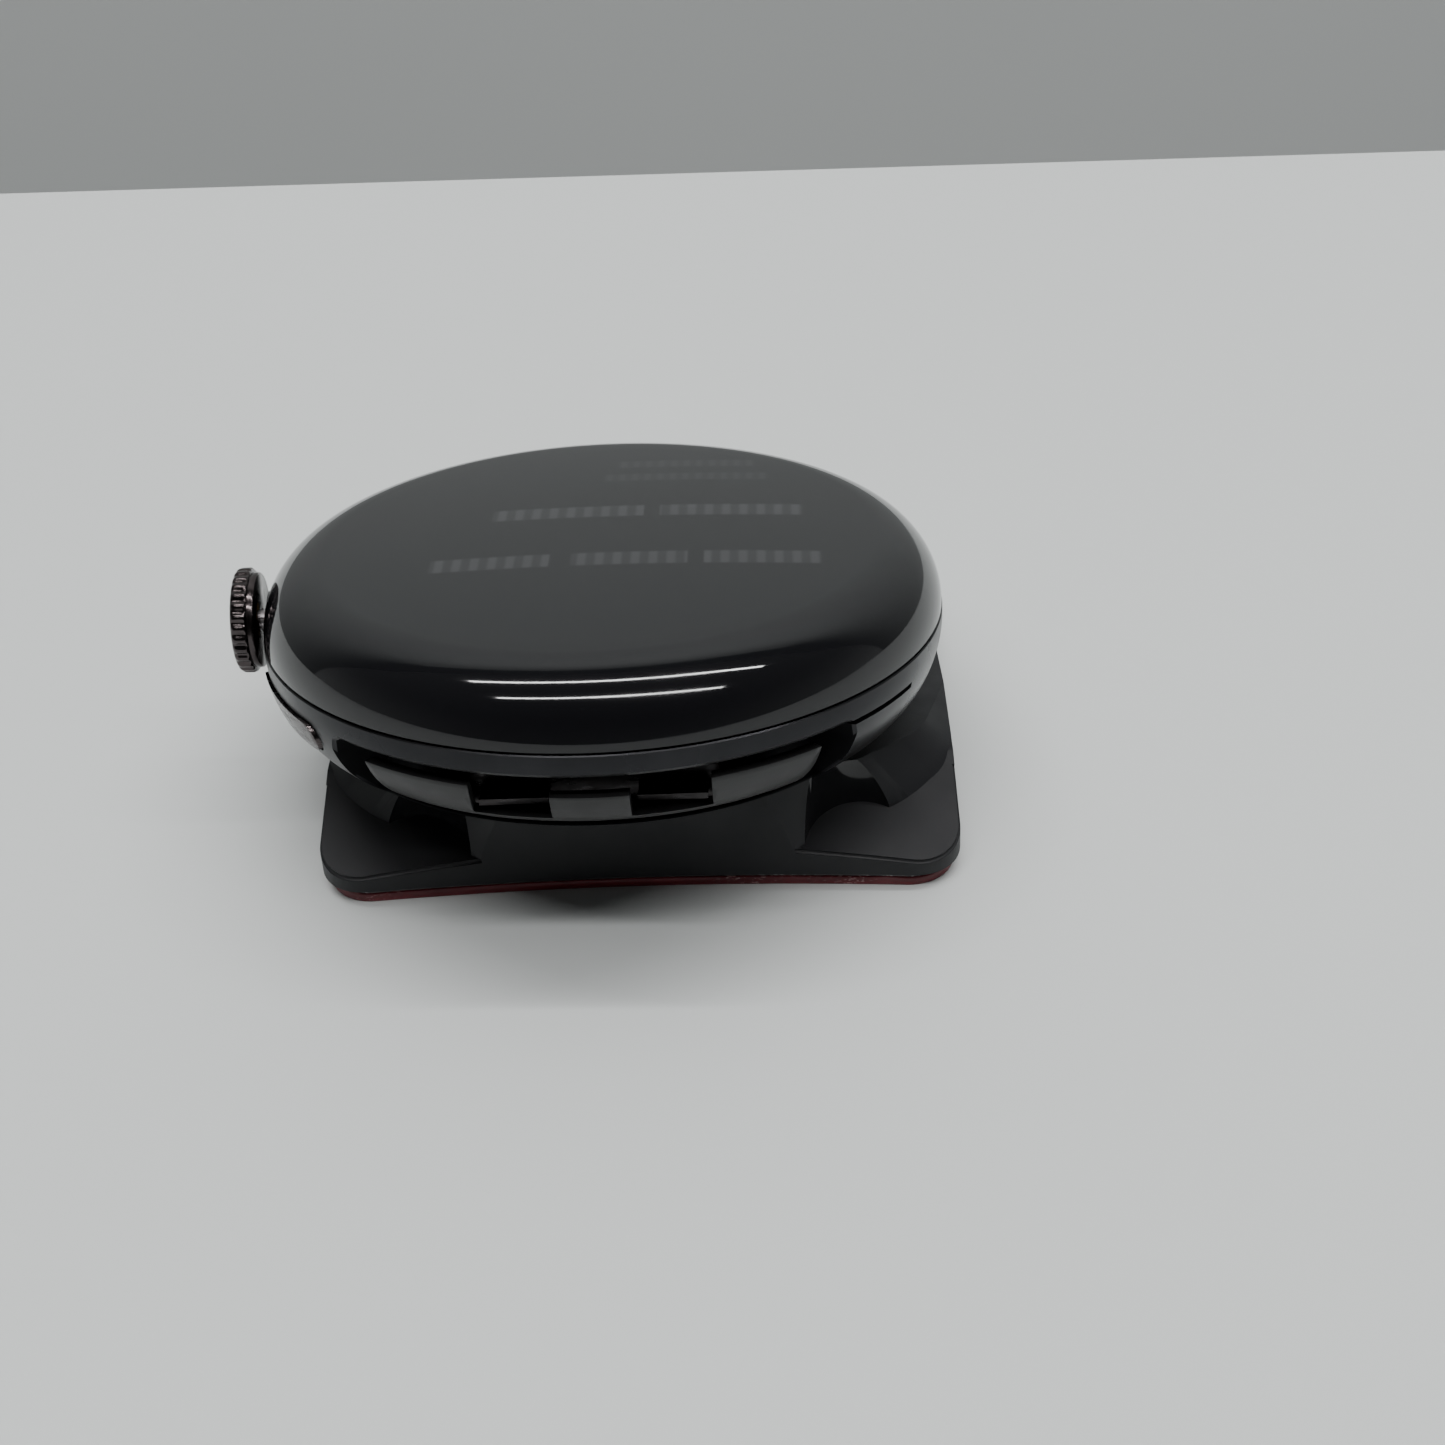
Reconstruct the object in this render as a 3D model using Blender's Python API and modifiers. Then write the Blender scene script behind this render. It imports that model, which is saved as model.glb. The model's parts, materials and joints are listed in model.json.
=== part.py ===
"""Smartwatch head on its wedge display stand, modelled piece by piece.

Metres, +Z up.  The origin is the middle of the stand's underside (the release
liner's lower face).  The head's 12 o'clock side points to -Y and is raised by the
wedge; its crown points to -X.  The head has its own frame, the empty head_frame:
origin in the middle of the seam between glass and case, local +Z out of the glass.
"""
import bpy
import bmesh
from math import asin, atan2, cos, pi, radians, sin, sqrt, tan
from mathutils import Matrix, Vector

MM = 0.001

# ---- general fits -------------------------------------------------------------------
GAP = 0.3 * MM              # between large pieces that rest on each other
FIT = 0.1 * MM              # between small turned pieces and their bores
LAYER = 0.05 * MM           # between the bonded layers under the stand
ROUND = 64                  # sides of the large turned pieces
SMALL_ROUND = 20            # sides of the small turned pieces

# ---- where the head sits ------------------------------------------------------------
HEAD_TILT = radians(-13.2)  # about X: the 12 o'clock side is raised
HEAD_X = -1.75 * MM         # the head is stuck on a little off the stand's middle
HEAD_Y = -4.4 * MM
HEAD_Z = 13.0 * MM          # height of the seam's middle

# ---- head: outer form ---------------------------------------------------------------
CASE_R = 20.5 * MM
BOWL_CORNER_R = 6.37 * MM   # the case side is one arc from the seam to the back
BOWL_TOP_Z = -0.4 * MM      # the arc starts here, below a short upright band
CASE_TOP_Z = -0.15 * MM
GLASS_INSET = 0.05 * MM     # the glass is this much smaller than the case
GLASS_BOTTOM_Z = CASE_TOP_Z + GAP
GLASS_EDGE_R = 4.2 * MM     # rounding of the glass's edge
GLASS_RISE = 0.6 * MM       # crown of the shallow top inside that rounding
GLASS_WALL = 1.4 * MM
DOME_SLOPE = radians(4.2)   # slope where the rounding meets the shallow top

# ---- head: inside -------------------------------------------------------------------
LEDGE_R = CASE_R - 1.0 * MM  # ledge for the gasket under the glass
LEDGE_Z = -0.9 * MM
CAVITY_R = CASE_R - 4.5 * MM
CAVITY_HALF_Y = CASE_R - 7.6 * MM  # the cavity is cut straight beside the band slots
CAVITY_FLOOR_Z = -4.9 * MM
DISPLAY_R = CASE_R - 5.2 * MM
DISPLAY_T = 0.7 * MM
GASKET_T = 0.45 * MM
GASKET_R_IN = CASE_R - 2.3 * MM
GASKET_R_OUT = CASE_R - 1.15 * MM
FRAME_R = CASE_R - 2.7 * MM  # the frame rests on the ledge, inside the gasket
FRAME_T = 0.8 * MM
BOARD_R = CASE_R - 6.5 * MM
BOARD_T = 0.6 * MM
CROWN_BAY_X = 10.9 * MM - CASE_R  # everything flat inside stops here, clear of crown and button
BATTERY_X = 2 * CASE_R - 21.0 * MM
BATTERY_Y = 2 * CASE_R - 25.0 * MM
HAPTIC_SIZE = (9.0 * MM, 3.0 * MM, 2.6 * MM)
SPEAKER_SIZE = (8.0 * MM, 3.2 * MM, 3.0 * MM)
BOARD_SCREW_R = 0.5 * MM
BOARD_SCREW_HEAD_R = 0.9 * MM
BOARD_SCREW_HEAD_T = 0.3 * MM
BOARD_SCREW_RING_R = CASE_R - 8.1 * MM
BOARD_SCREW_ANGLES = (20.0, 75.0, -55.0)

# ---- head: back ---------------------------------------------------------------------
COVER_R = CASE_R - 7.3 * MM
COVER_TOP_Z = -6.25 * MM
COVER_BOTTOM_Z = -6.95 * MM
BACK_HOLE_R = CASE_R - 8.9 * MM
BACK_RECESS_Z = -5.35 * MM
WINDOW_R = 8.6 * MM
WINDOW_APEX_Z = -7.15 * MM
WINDOW_TOP_Z = -6.55 * MM
COIL_R_IN = 6.0 * MM
COIL_T = 0.3 * MM
SENSOR_R = CASE_R - 9.7 * MM
SENSOR_T = 0.4 * MM
BACK_GASKET_R_IN = CASE_R - 8.4 * MM
BACK_GASKET_R_OUT = CASE_R - 7.6 * MM
BACK_GASKET_T = 0.3 * MM

# ---- band slots, the same at 12 and 6 o'clock ---------------------------------------
SLOT_TOP_Z = -1.45 * MM
SLOT_FLOOR_Z = -5.84 * MM
SLOT_BACK_R = CASE_R - 4.0 * MM
SLOT_HALF_ANGLE = radians(47.5)
SLOT_CORNER_R = 0.9 * MM
SLOT_WELL_HALF_X = 8.6 * MM     # deeper well in the middle, for the catch spring
SLOT_WELL_Y = CASE_R - 6.6 * MM
SPEAKER_SLIT_END = radians(63.0)    # from 12 o'clock, away from the crown
SPEAKER_SLIT_H = 0.35 * MM
SPEAKER_SLIT_DEPTH = 0.6 * MM
INSERT_TOP_Z = -2.45 * MM
INSERT_BOTTOM_Z = -5.4 * MM
INSERT_HALF_ANGLE = radians(40.0)
INSERT_INSET = 0.2 * MM
INSERT_T = 0.8 * MM
NOTCH_X = 4.45 * MM             # middle of each notch in the insert
NOTCH_W = 4.5 * MM
NOTCH_FLOOR_Z = -4.95 * MM
SPRING_Y = CASE_R - 5.5 * MM
SPRING_T = 0.25 * MM
SPRING_TOP_Z = -3.4 * MM
TONGUE_TOP_Z = -4.3 * MM
TONGUE_Y = CASE_R - 3.6 * MM

# ---- crown --------------------------------------------------------------------------
CROWN_Z = -0.1 * MM
KNOB_R = 3.2 * MM
KNOB_IN = 0.75 * MM             # distances outward from the case's radius
KNOB_OUT = 1.77 * MM
KNOB_BEVEL = 0.35 * MM
NECK_R = 2.9 * MM
NECK_IN = 0.34 * MM
CROWN_TRAVEL = 0.25 * MM
STEM_R = 0.6 * MM
STEM_IN = -6.2 * MM
STEM_OUT = 1.1 * MM
BUSH_BORE_R = 0.75 * MM
BUSH_R = 1.15 * MM
BUSH_IN = -3.6 * MM
BUSH_OUT = -0.35 * MM
BOSS_R = BUSH_R + FIT + 0.5 * MM
BOSS_IN = -3.2 * MM
SEAL_T = 0.35 * MM
CIRCLIP_R = 1.3 * MM
CIRCLIP_T = 0.25 * MM
ENCODER_R = 1.5 * MM
ENCODER_T = 1.0 * MM
PUSHER_R = 0.9 * MM
PUSHER_T = 0.7 * MM
CROWN_SWITCH_SIZE = (1.2 * MM, 3.0 * MM, 2.4 * MM)

# ---- side button, between 12 o'clock and the crown ----------------------------------
BUTTON_ANGLE = radians(65.0)    # from 12 o'clock towards the crown
BUTTON_Z = -2.35 * MM
BUTTON_LEN = 9.6 * MM
BUTTON_W = 1.8 * MM
BUTTON_PROUD = 0.2 * MM
BUTTON_DEPTH = 1.5 * MM
BUTTON_TRAVEL = 0.3 * MM
BUTTON_CLEAR = 0.15 * MM
BUTTON_STEM_R = 0.6 * MM
BUTTON_STEM_IN = -5.0 * MM      # from the case's radius, inward
BUTTON_SEAL_R = 1.05 * MM
BUTTON_SWITCH_SIZE = (1.2 * MM, 3.0 * MM, 1.6 * MM)

# ---- stand --------------------------------------------------------------------------
BASE_FRONT_X = 19.55 * MM       # half widths of the base at its front and rear
BASE_REAR_X = 18.6 * MM
BASE_HALF_Y = 17.0 * MM
BASE_CORNER_R = 3.0 * MM
BASE_SAG = 0.9 * MM             # front and rear edges are this much concave
LINER_T = 0.65 * MM
FOAM_T = 0.35 * MM
TAPE_INSET = 0.35 * MM
BASE_T = 1.3 * MM               # the thin plate behind the wedge
SADDLE_GAP = 0.9 * MM           # from the case's flat back to the wedge's top
FLANK_LOW_Z = 3.7 * MM          # the flanks lean in from here up
WEDGE_TOP_Z = 9.5 * MM
# Plan corners (x, y, rounding) of the wedge's +X half, front to rear, low down and at the top;
# low down they reach past the base's outline, which trims them.
WEDGE_LOW = ((8.5, -16.45, 0.8), (15.8, -12.5, 8.0), (20.2, -9.0, 5.0), (19.8, 17.5, 2.0))
WEDGE_TOP = ((7.5, -15.3, 0.8), (11.6, -12.6, 5.0), (13.4, -9.0, 3.0), (13.4, 12.0, 2.0))
FLUTE_X = 13.6 * MM
FLUTE_Y = 16.2 * MM
FLUTE_R = 3.65 * MM
FLUTE_TOP_R = 3.7 * MM
EAR_TIP = (9.7 * MM, -16.0 * MM, 3.0 * MM)      # a point of the +X ear's facet
EAR_SLOPE = radians(17.9)
EAR_SLOPE_AZ = radians(-73.8)   # downhill direction of that facet
EAR_TOP_Z = 4.4 * MM            # the ears end where their facets reach this height
EAR_REAR_Y = -8.0 * MM
PAD_R = 7.5 * MM
PAD_T = 0.65 * MM
PAD_PROUD = 0.3 * MM
MAGNET_R = 5.0 * MM
MAGNET_T = 1.2 * MM
MAGNET_ROOF = 0.55 * MM         # wall between the magnet and the pad
BALLAST_HALF_X = BASE_REAR_X - 5.1 * MM
BALLAST_FRONT_Y = 14.2 * MM
BALLAST_REAR_Y = 9.0 * MM
BALLAST_T = 0.6 * MM
BALLAST_CORNER_R = 1.5 * MM
PLATE_SCREWS = ((7.5 * MM, -12.6 * MM), (11.6 * MM, 4.5 * MM))   # mirrored in X
PLATE_SCREW_R = 0.5 * MM
PLATE_SCREW_HEAD_R = 1.1 * MM
PLATE_SCREW_HEAD_T = 0.4 * MM
PLATE_SCREW_BITE = 0.4 * MM     # length of thread above the ballast plate

# ---- sizes that follow ---------------------------------------------------------------
GLASS_R = CASE_R - GLASS_INSET
BOWL_CENTRE_R = CASE_R - BOWL_CORNER_R
CASE_BOTTOM_Z = BOWL_TOP_Z - BOWL_CORNER_R
SHELL_BOTTOM_Z = LINER_T + LAYER + FOAM_T + LAYER
BASE_TOP_Z = SHELL_BOTTOM_Z + BASE_T
SADDLE_Z = CASE_BOTTOM_Z - SADDLE_GAP           # head frame
PAD_TOP_Z = SADDLE_Z + PAD_PROUD
PAD_BOTTOM_Z = PAD_TOP_Z - PAD_T
PAD_RECESS_Z = PAD_BOTTOM_Z - FIT
MAGNET_TOP_Z = PAD_RECESS_Z - MAGNET_ROOF
BALLAST_LOW_Z = SHELL_BOTTOM_Z + LAYER
BALLAST_HIGH_Z = BALLAST_LOW_Z + BALLAST_T
BUTTON_SURFACE = sqrt(BOWL_CORNER_R ** 2 - (BOWL_TOP_Z - BUTTON_Z) ** 2) - BOWL_CORNER_R
BUTTON_CAP_IN = BUTTON_SURFACE - BUTTON_DEPTH       # from the case's radius, inward
GLASS_TOP_INNER_Z = (GLASS_BOTTOM_Z + FIT) + GLASS_EDGE_R - GLASS_WALL + 0.25 * MM


# ---- scene and helpers ---------------------------------------------------------------
def clear_scene():
    for obj in list(bpy.data.objects):
        bpy.data.objects.remove(obj, do_unlink=True)


def make_collection(name):
    collection = bpy.data.collections.new(name)
    bpy.context.scene.collection.children.link(collection)
    return collection


def make_material(name, colour, roughness, metallic=0.0):
    material = bpy.data.materials.new(name)
    material.use_nodes = True
    shader = material.node_tree.nodes["Principled BSDF"]
    shader.inputs["Base Color"].default_value = (*colour, 1.0)
    shader.inputs["Roughness"].default_value = roughness
    shader.inputs["Metallic"].default_value = metallic
    return material


def make_empty(name, parent=None, location=(0, 0, 0), rotation=(0, 0, 0)):
    empty = bpy.data.objects.new(name, None)
    PARTS.objects.link(empty)
    empty.parent = parent
    empty.location = location
    empty.rotation_euler = rotation
    return empty


def add_object(name, mesh, material, parent=None, location=(0, 0, 0), rotation=(0, 0, 0)):
    """A part when it has a material, a cutter when it has none."""
    obj = bpy.data.objects.new(name, mesh)
    obj.parent = parent
    obj.location = location
    obj.rotation_euler = rotation
    if material is None:
        CUTTERS.objects.link(obj)
        obj.hide_render = True
        obj.display_type = "WIRE"
    else:
        PARTS.objects.link(obj)
        mesh.materials.append(material)
    return obj


def mesh_from(name, bm):
    mesh = bpy.data.meshes.new(name)
    bm.to_mesh(mesh)
    bm.free()
    return mesh


def block(name, size, centre, material=None, **place):
    """A box of the given size around a centre."""
    bm = bmesh.new()
    shape = Matrix.Translation(centre) @ Matrix.Diagonal((*size, 1.0))
    bmesh.ops.create_cube(bm, size=1.0, matrix=shape)
    return add_object(name, mesh_from(name, bm), material, **place)


def rod(name, radius, z_low, z_high, material=None, top_radius=None, sides=SMALL_ROUND,
        centre=(0, 0), **place):
    """A cylinder or cone along local Z."""
    bm = bmesh.new()
    middle = Matrix.Translation((*centre, (z_low + z_high) / 2))
    bmesh.ops.create_cone(bm, cap_ends=True, segments=sides, radius1=radius,
                          radius2=radius if top_radius is None else top_radius,
                          depth=z_high - z_low, matrix=middle)
    return add_object(name, mesh_from(name, bm), material, **place)


def turned(name, profile, material=None, ring=False, sides=ROUND, **place):
    """A profile of (radius, z) points turned about local Z; a ring's profile closes."""
    bm = bmesh.new()
    verts = [bm.verts.new((r, 0.0, z)) for r, z in profile]
    for first, second in zip(verts, verts[1:]):
        bm.edges.new((first, second))
    if ring:
        bm.edges.new((verts[-1], verts[0]))
    obj = add_object(name, mesh_from(name, bm), material, **place)
    screw = obj.modifiers.new("turn", "SCREW")
    screw.axis = "Z"
    screw.angle = 2 * pi
    screw.steps = screw.render_steps = sides
    screw.use_merge_vertices = True
    screw.merge_threshold = 0.00001
    screw.use_smooth_shade = True
    return obj


def washer(name, r_in, r_out, z_low, z_high, material=None, sides=SMALL_ROUND, **place):
    profile = [(r_out, z_high), (r_out, z_low), (r_in, z_low), (r_in, z_high)]
    return turned(name, profile, material, ring=True, sides=sides, **place)


def plate(name, outline, z_low, z_high, material=None, **place):
    """A flat outline given its thickness; made a mesh so that it can be cut or can cut."""
    curve = bpy.data.curves.new(name, "CURVE")
    curve.dimensions = "2D"
    curve.fill_mode = "BOTH"
    curve.extrude = (z_high - z_low) / 2
    spline = curve.splines.new("POLY")
    spline.points.add(len(outline) - 1)
    for point, (x, y) in zip(spline.points, outline):
        point.co = (x, y, 0.0, 1.0)
    spline.use_cyclic_u = True
    drawn = bpy.data.objects.new(name + "_outline", curve)
    PARTS.objects.link(drawn)
    bpy.context.view_layer.update()
    graph = bpy.context.evaluated_depsgraph_get()
    flat = bpy.data.meshes.new_from_object(drawn.evaluated_get(graph))
    bpy.data.objects.remove(drawn, do_unlink=True)
    bm = bmesh.new()
    bm.from_mesh(flat)
    bmesh.ops.remove_doubles(bm, verts=bm.verts, dist=0.000001)
    bmesh.ops.translate(bm, verts=bm.verts, vec=(0, 0, (z_low + z_high) / 2))
    bmesh.ops.recalc_face_normals(bm, faces=bm.faces)
    return add_object(name, mesh_from(name, bm), material, **place)


def boolean(obj, other, operation="DIFFERENCE"):
    modifier = obj.modifiers.new(operation.lower() + "_" + other.name, "BOOLEAN")
    modifier.operation = operation
    modifier.solver = "EXACT"
    modifier.object = other


def bevel(obj, width, segments=2, angle=radians(40)):
    modifier = obj.modifiers.new("soften", "BEVEL")
    modifier.width = width
    modifier.segments = segments
    modifier.limit_method = "ANGLE"
    modifier.angle_limit = angle


def arc(centre_x, centre_y, radius, start, end, count):
    """Points on an arc from the start angle to the end angle, both included."""
    angles = [start + (end - start) * i / (count - 1) for i in range(count)]
    return [(centre_x + radius * cos(a), centre_y + radius * sin(a)) for a in angles]


def sector(r_in, r_out, start, end, count=17):
    """Outline of a ring's stretch; the angles run from -Y towards +X."""
    outer = arc(0, 0, r_out, start - pi / 2, end - pi / 2, count)
    inner = arc(0, 0, r_in, end - pi / 2, start - pi / 2, count)
    return outer + inner


def clipped_circle(radius, half_y, count=12):
    """A circle cut straight at +-half_y."""
    reach = asin(half_y / radius)
    return (arc(0, 0, radius, -reach, reach, count)
            + arc(0, 0, radius, pi - reach, pi + reach, count))


def bowl_radius(z, inset=0.0):
    """Radius of the case's outer arc at a height below BOWL_TOP_Z."""
    drop = BOWL_TOP_Z - z
    return BOWL_CENTRE_R + sqrt((BOWL_CORNER_R - inset) ** 2 - drop ** 2)


def bowl_arc(count, proud=0.0):
    """The case's side from its upright band to the edge of its flat back."""
    return arc(BOWL_CENTRE_R, BOWL_TOP_Z, BOWL_CORNER_R + proud, 0, -pi / 2, count)


def rounded_polygon(corners, arc_steps=5, edge_steps=1):
    """Anticlockwise corners (x, y, rounding) as a smooth outline; edges may be divided."""
    arcs = []
    for i, (x, y, radius) in enumerate(corners):
        here = Vector((x, y))
        before = (Vector(corners[i - 1][:2]) - here).normalized()
        after = (Vector(corners[(i + 1) % len(corners)][:2]) - here).normalized()
        half = before.angle(after) / 2
        centre = here + (before + after).normalized() * (radius / sin(half))
        start = here + before * (radius / tan(half)) - centre
        first = atan2(start.y, start.x)
        arcs.append(arc(centre.x, centre.y, radius, first, first + pi - 2 * half, arc_steps))
    points = []
    for run, following in zip(arcs, arcs[1:] + arcs[:1]):
        points += run
        (x0, y0), (x1, y1) = run[-1], following[0]
        points += [(x0 + (x1 - x0) * k / edge_steps, y0 + (y1 - y0) * k / edge_steps)
                   for k in range(1, edge_steps)]
    return points


def base_outline(inset=0.0):
    """The base narrows to the rear, and its front and rear edges bow inwards."""
    front, rear, y = BASE_FRONT_X - inset, BASE_REAR_X - inset, BASE_HALF_Y - inset
    corners = [(front, -y, BASE_CORNER_R), (rear, y, BASE_CORNER_R), (-rear, y, BASE_CORNER_R),
               (-front, -y, BASE_CORNER_R)]
    bowed = []
    for px, py in rounded_polygon(corners, edge_steps=8):
        bowed.append((px, py * (1 - BASE_SAG / y * (1 - (px / front) ** 2))))
    return bowed


def wedge_outline(half):
    """A plan outline of the wedge from the corners of its +X half."""
    right = [(x * MM, y * MM, radius * MM) for x, y, radius in half]
    return rounded_polygon(right + [(-x, y, radius) for x, y, radius in reversed(right)])


def rounded_box_outline(x_low, x_high, y_low, y_high, radius):
    return (arc(x_high - radius, y_high - radius, radius, 0, pi / 2, 4)
            + arc(x_low + radius, y_high - radius, radius, pi / 2, pi, 4)
            + arc(x_low + radius, y_low + radius, radius, pi, 3 * pi / 2, 4)
            + arc(x_high - radius, y_low + radius, radius, 3 * pi / 2, 2 * pi, 4))


def loft(name, rings, material=None):
    """A closed body through rings of equally many points, lowest first."""
    bm = bmesh.new()
    levels = [[bm.verts.new(point) for point in ring] for ring in rings]
    for low, high in zip(levels, levels[1:]):
        for i in range(len(low)):
            j = (i + 1) % len(low)
            bm.faces.new((low[i], low[j], high[j], high[i]))
    bm.faces.new(list(reversed(levels[0])))
    bm.faces.new(levels[-1])
    return add_object(name, mesh_from(name, bm), material)


def pill_outline(length, width, count=7):
    """A slot shape lying along X."""
    straight = (length - width) / 2
    return (arc(straight, 0, width / 2, -pi / 2, pi / 2, count)
            + arc(-straight, 0, width / 2, pi / 2, 3 * pi / 2, count))


# ---- head: glass, display and their frame --------------------------------------------
def glass_profile():
    """Outer line from the middle of the dome down to the glass's lower edge."""
    edge_centre_r = GLASS_R - GLASS_EDGE_R
    edge_centre_z = GLASS_BOTTOM_Z + FIT
    join_r = edge_centre_r + GLASS_EDGE_R * sin(DOME_SLOPE)
    join_z = edge_centre_z + GLASS_EDGE_R * cos(DOME_SLOPE)
    line = [(0.0, join_z + GLASS_RISE)]
    for share in (0.3, 0.55, 0.78):
        line.append((join_r * share, join_z + GLASS_RISE * (1 - share ** 2)))
    line += arc(edge_centre_r, edge_centre_z, GLASS_EDGE_R, pi / 2 - DOME_SLOPE, 0, 9)
    line.append((GLASS_R, GLASS_BOTTOM_Z))
    return line


def cover_glass(material, crown_relief):
    inner_r = GLASS_R - GLASS_WALL
    inner_edge_r = GLASS_EDGE_R - GLASS_WALL
    inside = [(inner_r, GLASS_BOTTOM_Z)]
    inside += arc(inner_r - inner_edge_r, GLASS_TOP_INNER_Z - inner_edge_r, inner_edge_r,
                  0, pi / 2, 5)
    inside.append((0.0, GLASS_TOP_INNER_Z))
    glass = turned("cover_glass", glass_profile() + inside, material, parent=HEAD)
    boolean(glass, crown_relief)


def display_stack(panel_material, gasket_material, crown_relief):
    top = GLASS_TOP_INNER_Z - GAP
    rod("display_panel", DISPLAY_R, top - DISPLAY_T, top, panel_material, sides=48, parent=HEAD)
    low = LEDGE_Z + GAP
    gasket = washer("glass_gasket", GASKET_R_IN, GASKET_R_OUT, low, low + GASKET_T,
                    gasket_material, sides=ROUND, parent=HEAD)
    boolean(gasket, crown_relief)


def inner_pieces(frame_material, board_material, cell_material, metal, dark):
    """Chassis, main board with its screws, battery, haptic motor and speaker."""
    bay_depth = 2 * CASE_R
    bay_block = block("crown_bay_cutter", (bay_depth, 2 * CASE_R, CASE_R),
                      (CROWN_BAY_X - bay_depth / 2, 0, 0), parent=HEAD)
    frame_low = LEDGE_Z + GAP
    frame_high = frame_low + FRAME_T
    chassis = rod("inner_frame", FRAME_R, frame_low, frame_high, frame_material, sides=48,
                  parent=HEAD)
    boolean(chassis, bay_block)
    board_low = frame_high + GAP
    board_high = board_low + BOARD_T
    board = rod("main_board", BOARD_R, board_low, board_high, board_material, sides=40, parent=HEAD)
    boolean(board, bay_block)
    for number, degrees in enumerate(BOARD_SCREW_ANGLES, 1):
        spot = (BOARD_SCREW_RING_R * cos(radians(degrees)),
                BOARD_SCREW_RING_R * sin(radians(degrees)))
        shank_low = frame_low + FIT
        head_low = board_high + FIT
        profile = [(0, head_low + BOARD_SCREW_HEAD_T), (BOARD_SCREW_HEAD_R, head_low + BOARD_SCREW_HEAD_T),
                   (BOARD_SCREW_HEAD_R, head_low), (BOARD_SCREW_R, head_low),
                   (BOARD_SCREW_R, shank_low), (0, shank_low)]
        turned("board_screw_%d" % number, profile, metal, sides=12, parent=HEAD,
               location=(*spot, 0))
        hole = rod("board_screw_hole_%d" % number, BOARD_SCREW_R + FIT, CAVITY_FLOOR_Z, CASE_R,
                   sides=12, centre=spot, parent=HEAD)
        boolean(board, hole)
        boolean(chassis, hole)
    cell_low = CAVITY_FLOOR_Z + GAP
    cell_high = frame_low - GAP
    cell_x = CROWN_BAY_X + BATTERY_X / 2 + GAP
    cell = block("battery", (BATTERY_X, BATTERY_Y, cell_high - cell_low),
                 (cell_x, 0, (cell_low + cell_high) / 2), cell_material, parent=HEAD)
    bevel(cell, 0.4 * MM)
    side_y = BATTERY_Y / 2 + GAP
    for name, size, x, direction, material in (
            ("haptic_motor", HAPTIC_SIZE, 0.0, 1, metal),
            ("speaker_module", SPEAKER_SIZE, 2.0 * MM, -1, dark)):
        centre = (x, direction * (side_y + size[1] / 2), cell_low + size[2] / 2)
        piece = block(name, size, centre, material, parent=HEAD)
        bevel(piece, 0.25 * MM)


# ---- head: case, back and band slots -------------------------------------------------
def band_slot(case, name, turn):
    """Cut one band slot; turn is 0 at 12 o'clock and pi at 6 o'clock."""
    far = CASE_R + 2 * MM
    place = {"parent": HEAD, "rotation": (0, 0, turn)}
    channel = plate(name + "_slot_cutter", sector(SLOT_BACK_R, far, -SLOT_HALF_ANGLE, SLOT_HALF_ANGLE),
                    SLOT_FLOOR_Z, SLOT_TOP_Z, **place)
    bevel(channel, SLOT_CORNER_R, 3, radians(60))
    boolean(case, channel)
    well = block(name + "_well_cutter",
                 (2 * SLOT_WELL_HALF_X, far - SLOT_WELL_Y, SLOT_TOP_Z - SLOT_FLOOR_Z),
                 (0, -(far + SLOT_WELL_Y) / 2, (SLOT_TOP_Z + SLOT_FLOOR_Z) / 2), **place)
    boolean(case, well)


def band_catch(name, turn, satin, bright):
    """The notched insert in a band slot and the catch spring behind it."""
    place = {"parent": HEAD, "rotation": (0, 0, turn)}
    heights = [INSERT_TOP_Z + (INSERT_BOTTOM_Z - INSERT_TOP_Z) * i / 4 for i in range(5)]
    outer = [(bowl_radius(z, INSERT_INSET), z) for z in heights]
    inner = [(r - INSERT_T, z) for r, z in (outer[-1], outer[0])]
    insert = turned(name + "_slot_insert", outer + inner, satin, ring=True, **place)
    keep = plate(name + "_insert_keep",
                 sector(CAVITY_R / 2, CASE_R + GAP, -INSERT_HALF_ANGLE, INSERT_HALF_ANGLE),
                 SLOT_FLOOR_Z, SLOT_TOP_Z, **place)
    boolean(insert, keep, "INTERSECT")
    height = SLOT_TOP_Z - NOTCH_FLOOR_Z
    for side in (-1, 1):
        notch = block("%s_notch_%s" % (name, "right" if side > 0 else "left"),
                      (NOTCH_W, CASE_R, height),
                      (side * NOTCH_X, -CASE_R, NOTCH_FLOOR_Z + height / 2), **place)
        boolean(insert, notch)
    spring_low = SLOT_FLOOR_Z + GAP
    spring = block(name + "_catch_spring",
                   (2 * (NOTCH_X + NOTCH_W / 2 + 0.3 * MM), SPRING_T, SPRING_TOP_Z - spring_low),
                   (0, -SPRING_Y, (SPRING_TOP_Z + spring_low) / 2), bright, **place)
    for side in (-1, 1):
        reach = TONGUE_Y - SPRING_Y
        tongue = block("%s_tongue_%s" % (name, "right" if side > 0 else "left"),
                       (NOTCH_W - 2 * GAP, reach, TONGUE_TOP_Z - NOTCH_FLOOR_Z - GAP),
                       (side * NOTCH_X, -SPRING_Y - reach / 2,
                        (TONGUE_TOP_Z + NOTCH_FLOOR_Z + GAP) / 2), **place)
        boolean(spring, tongue, "UNION")


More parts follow.
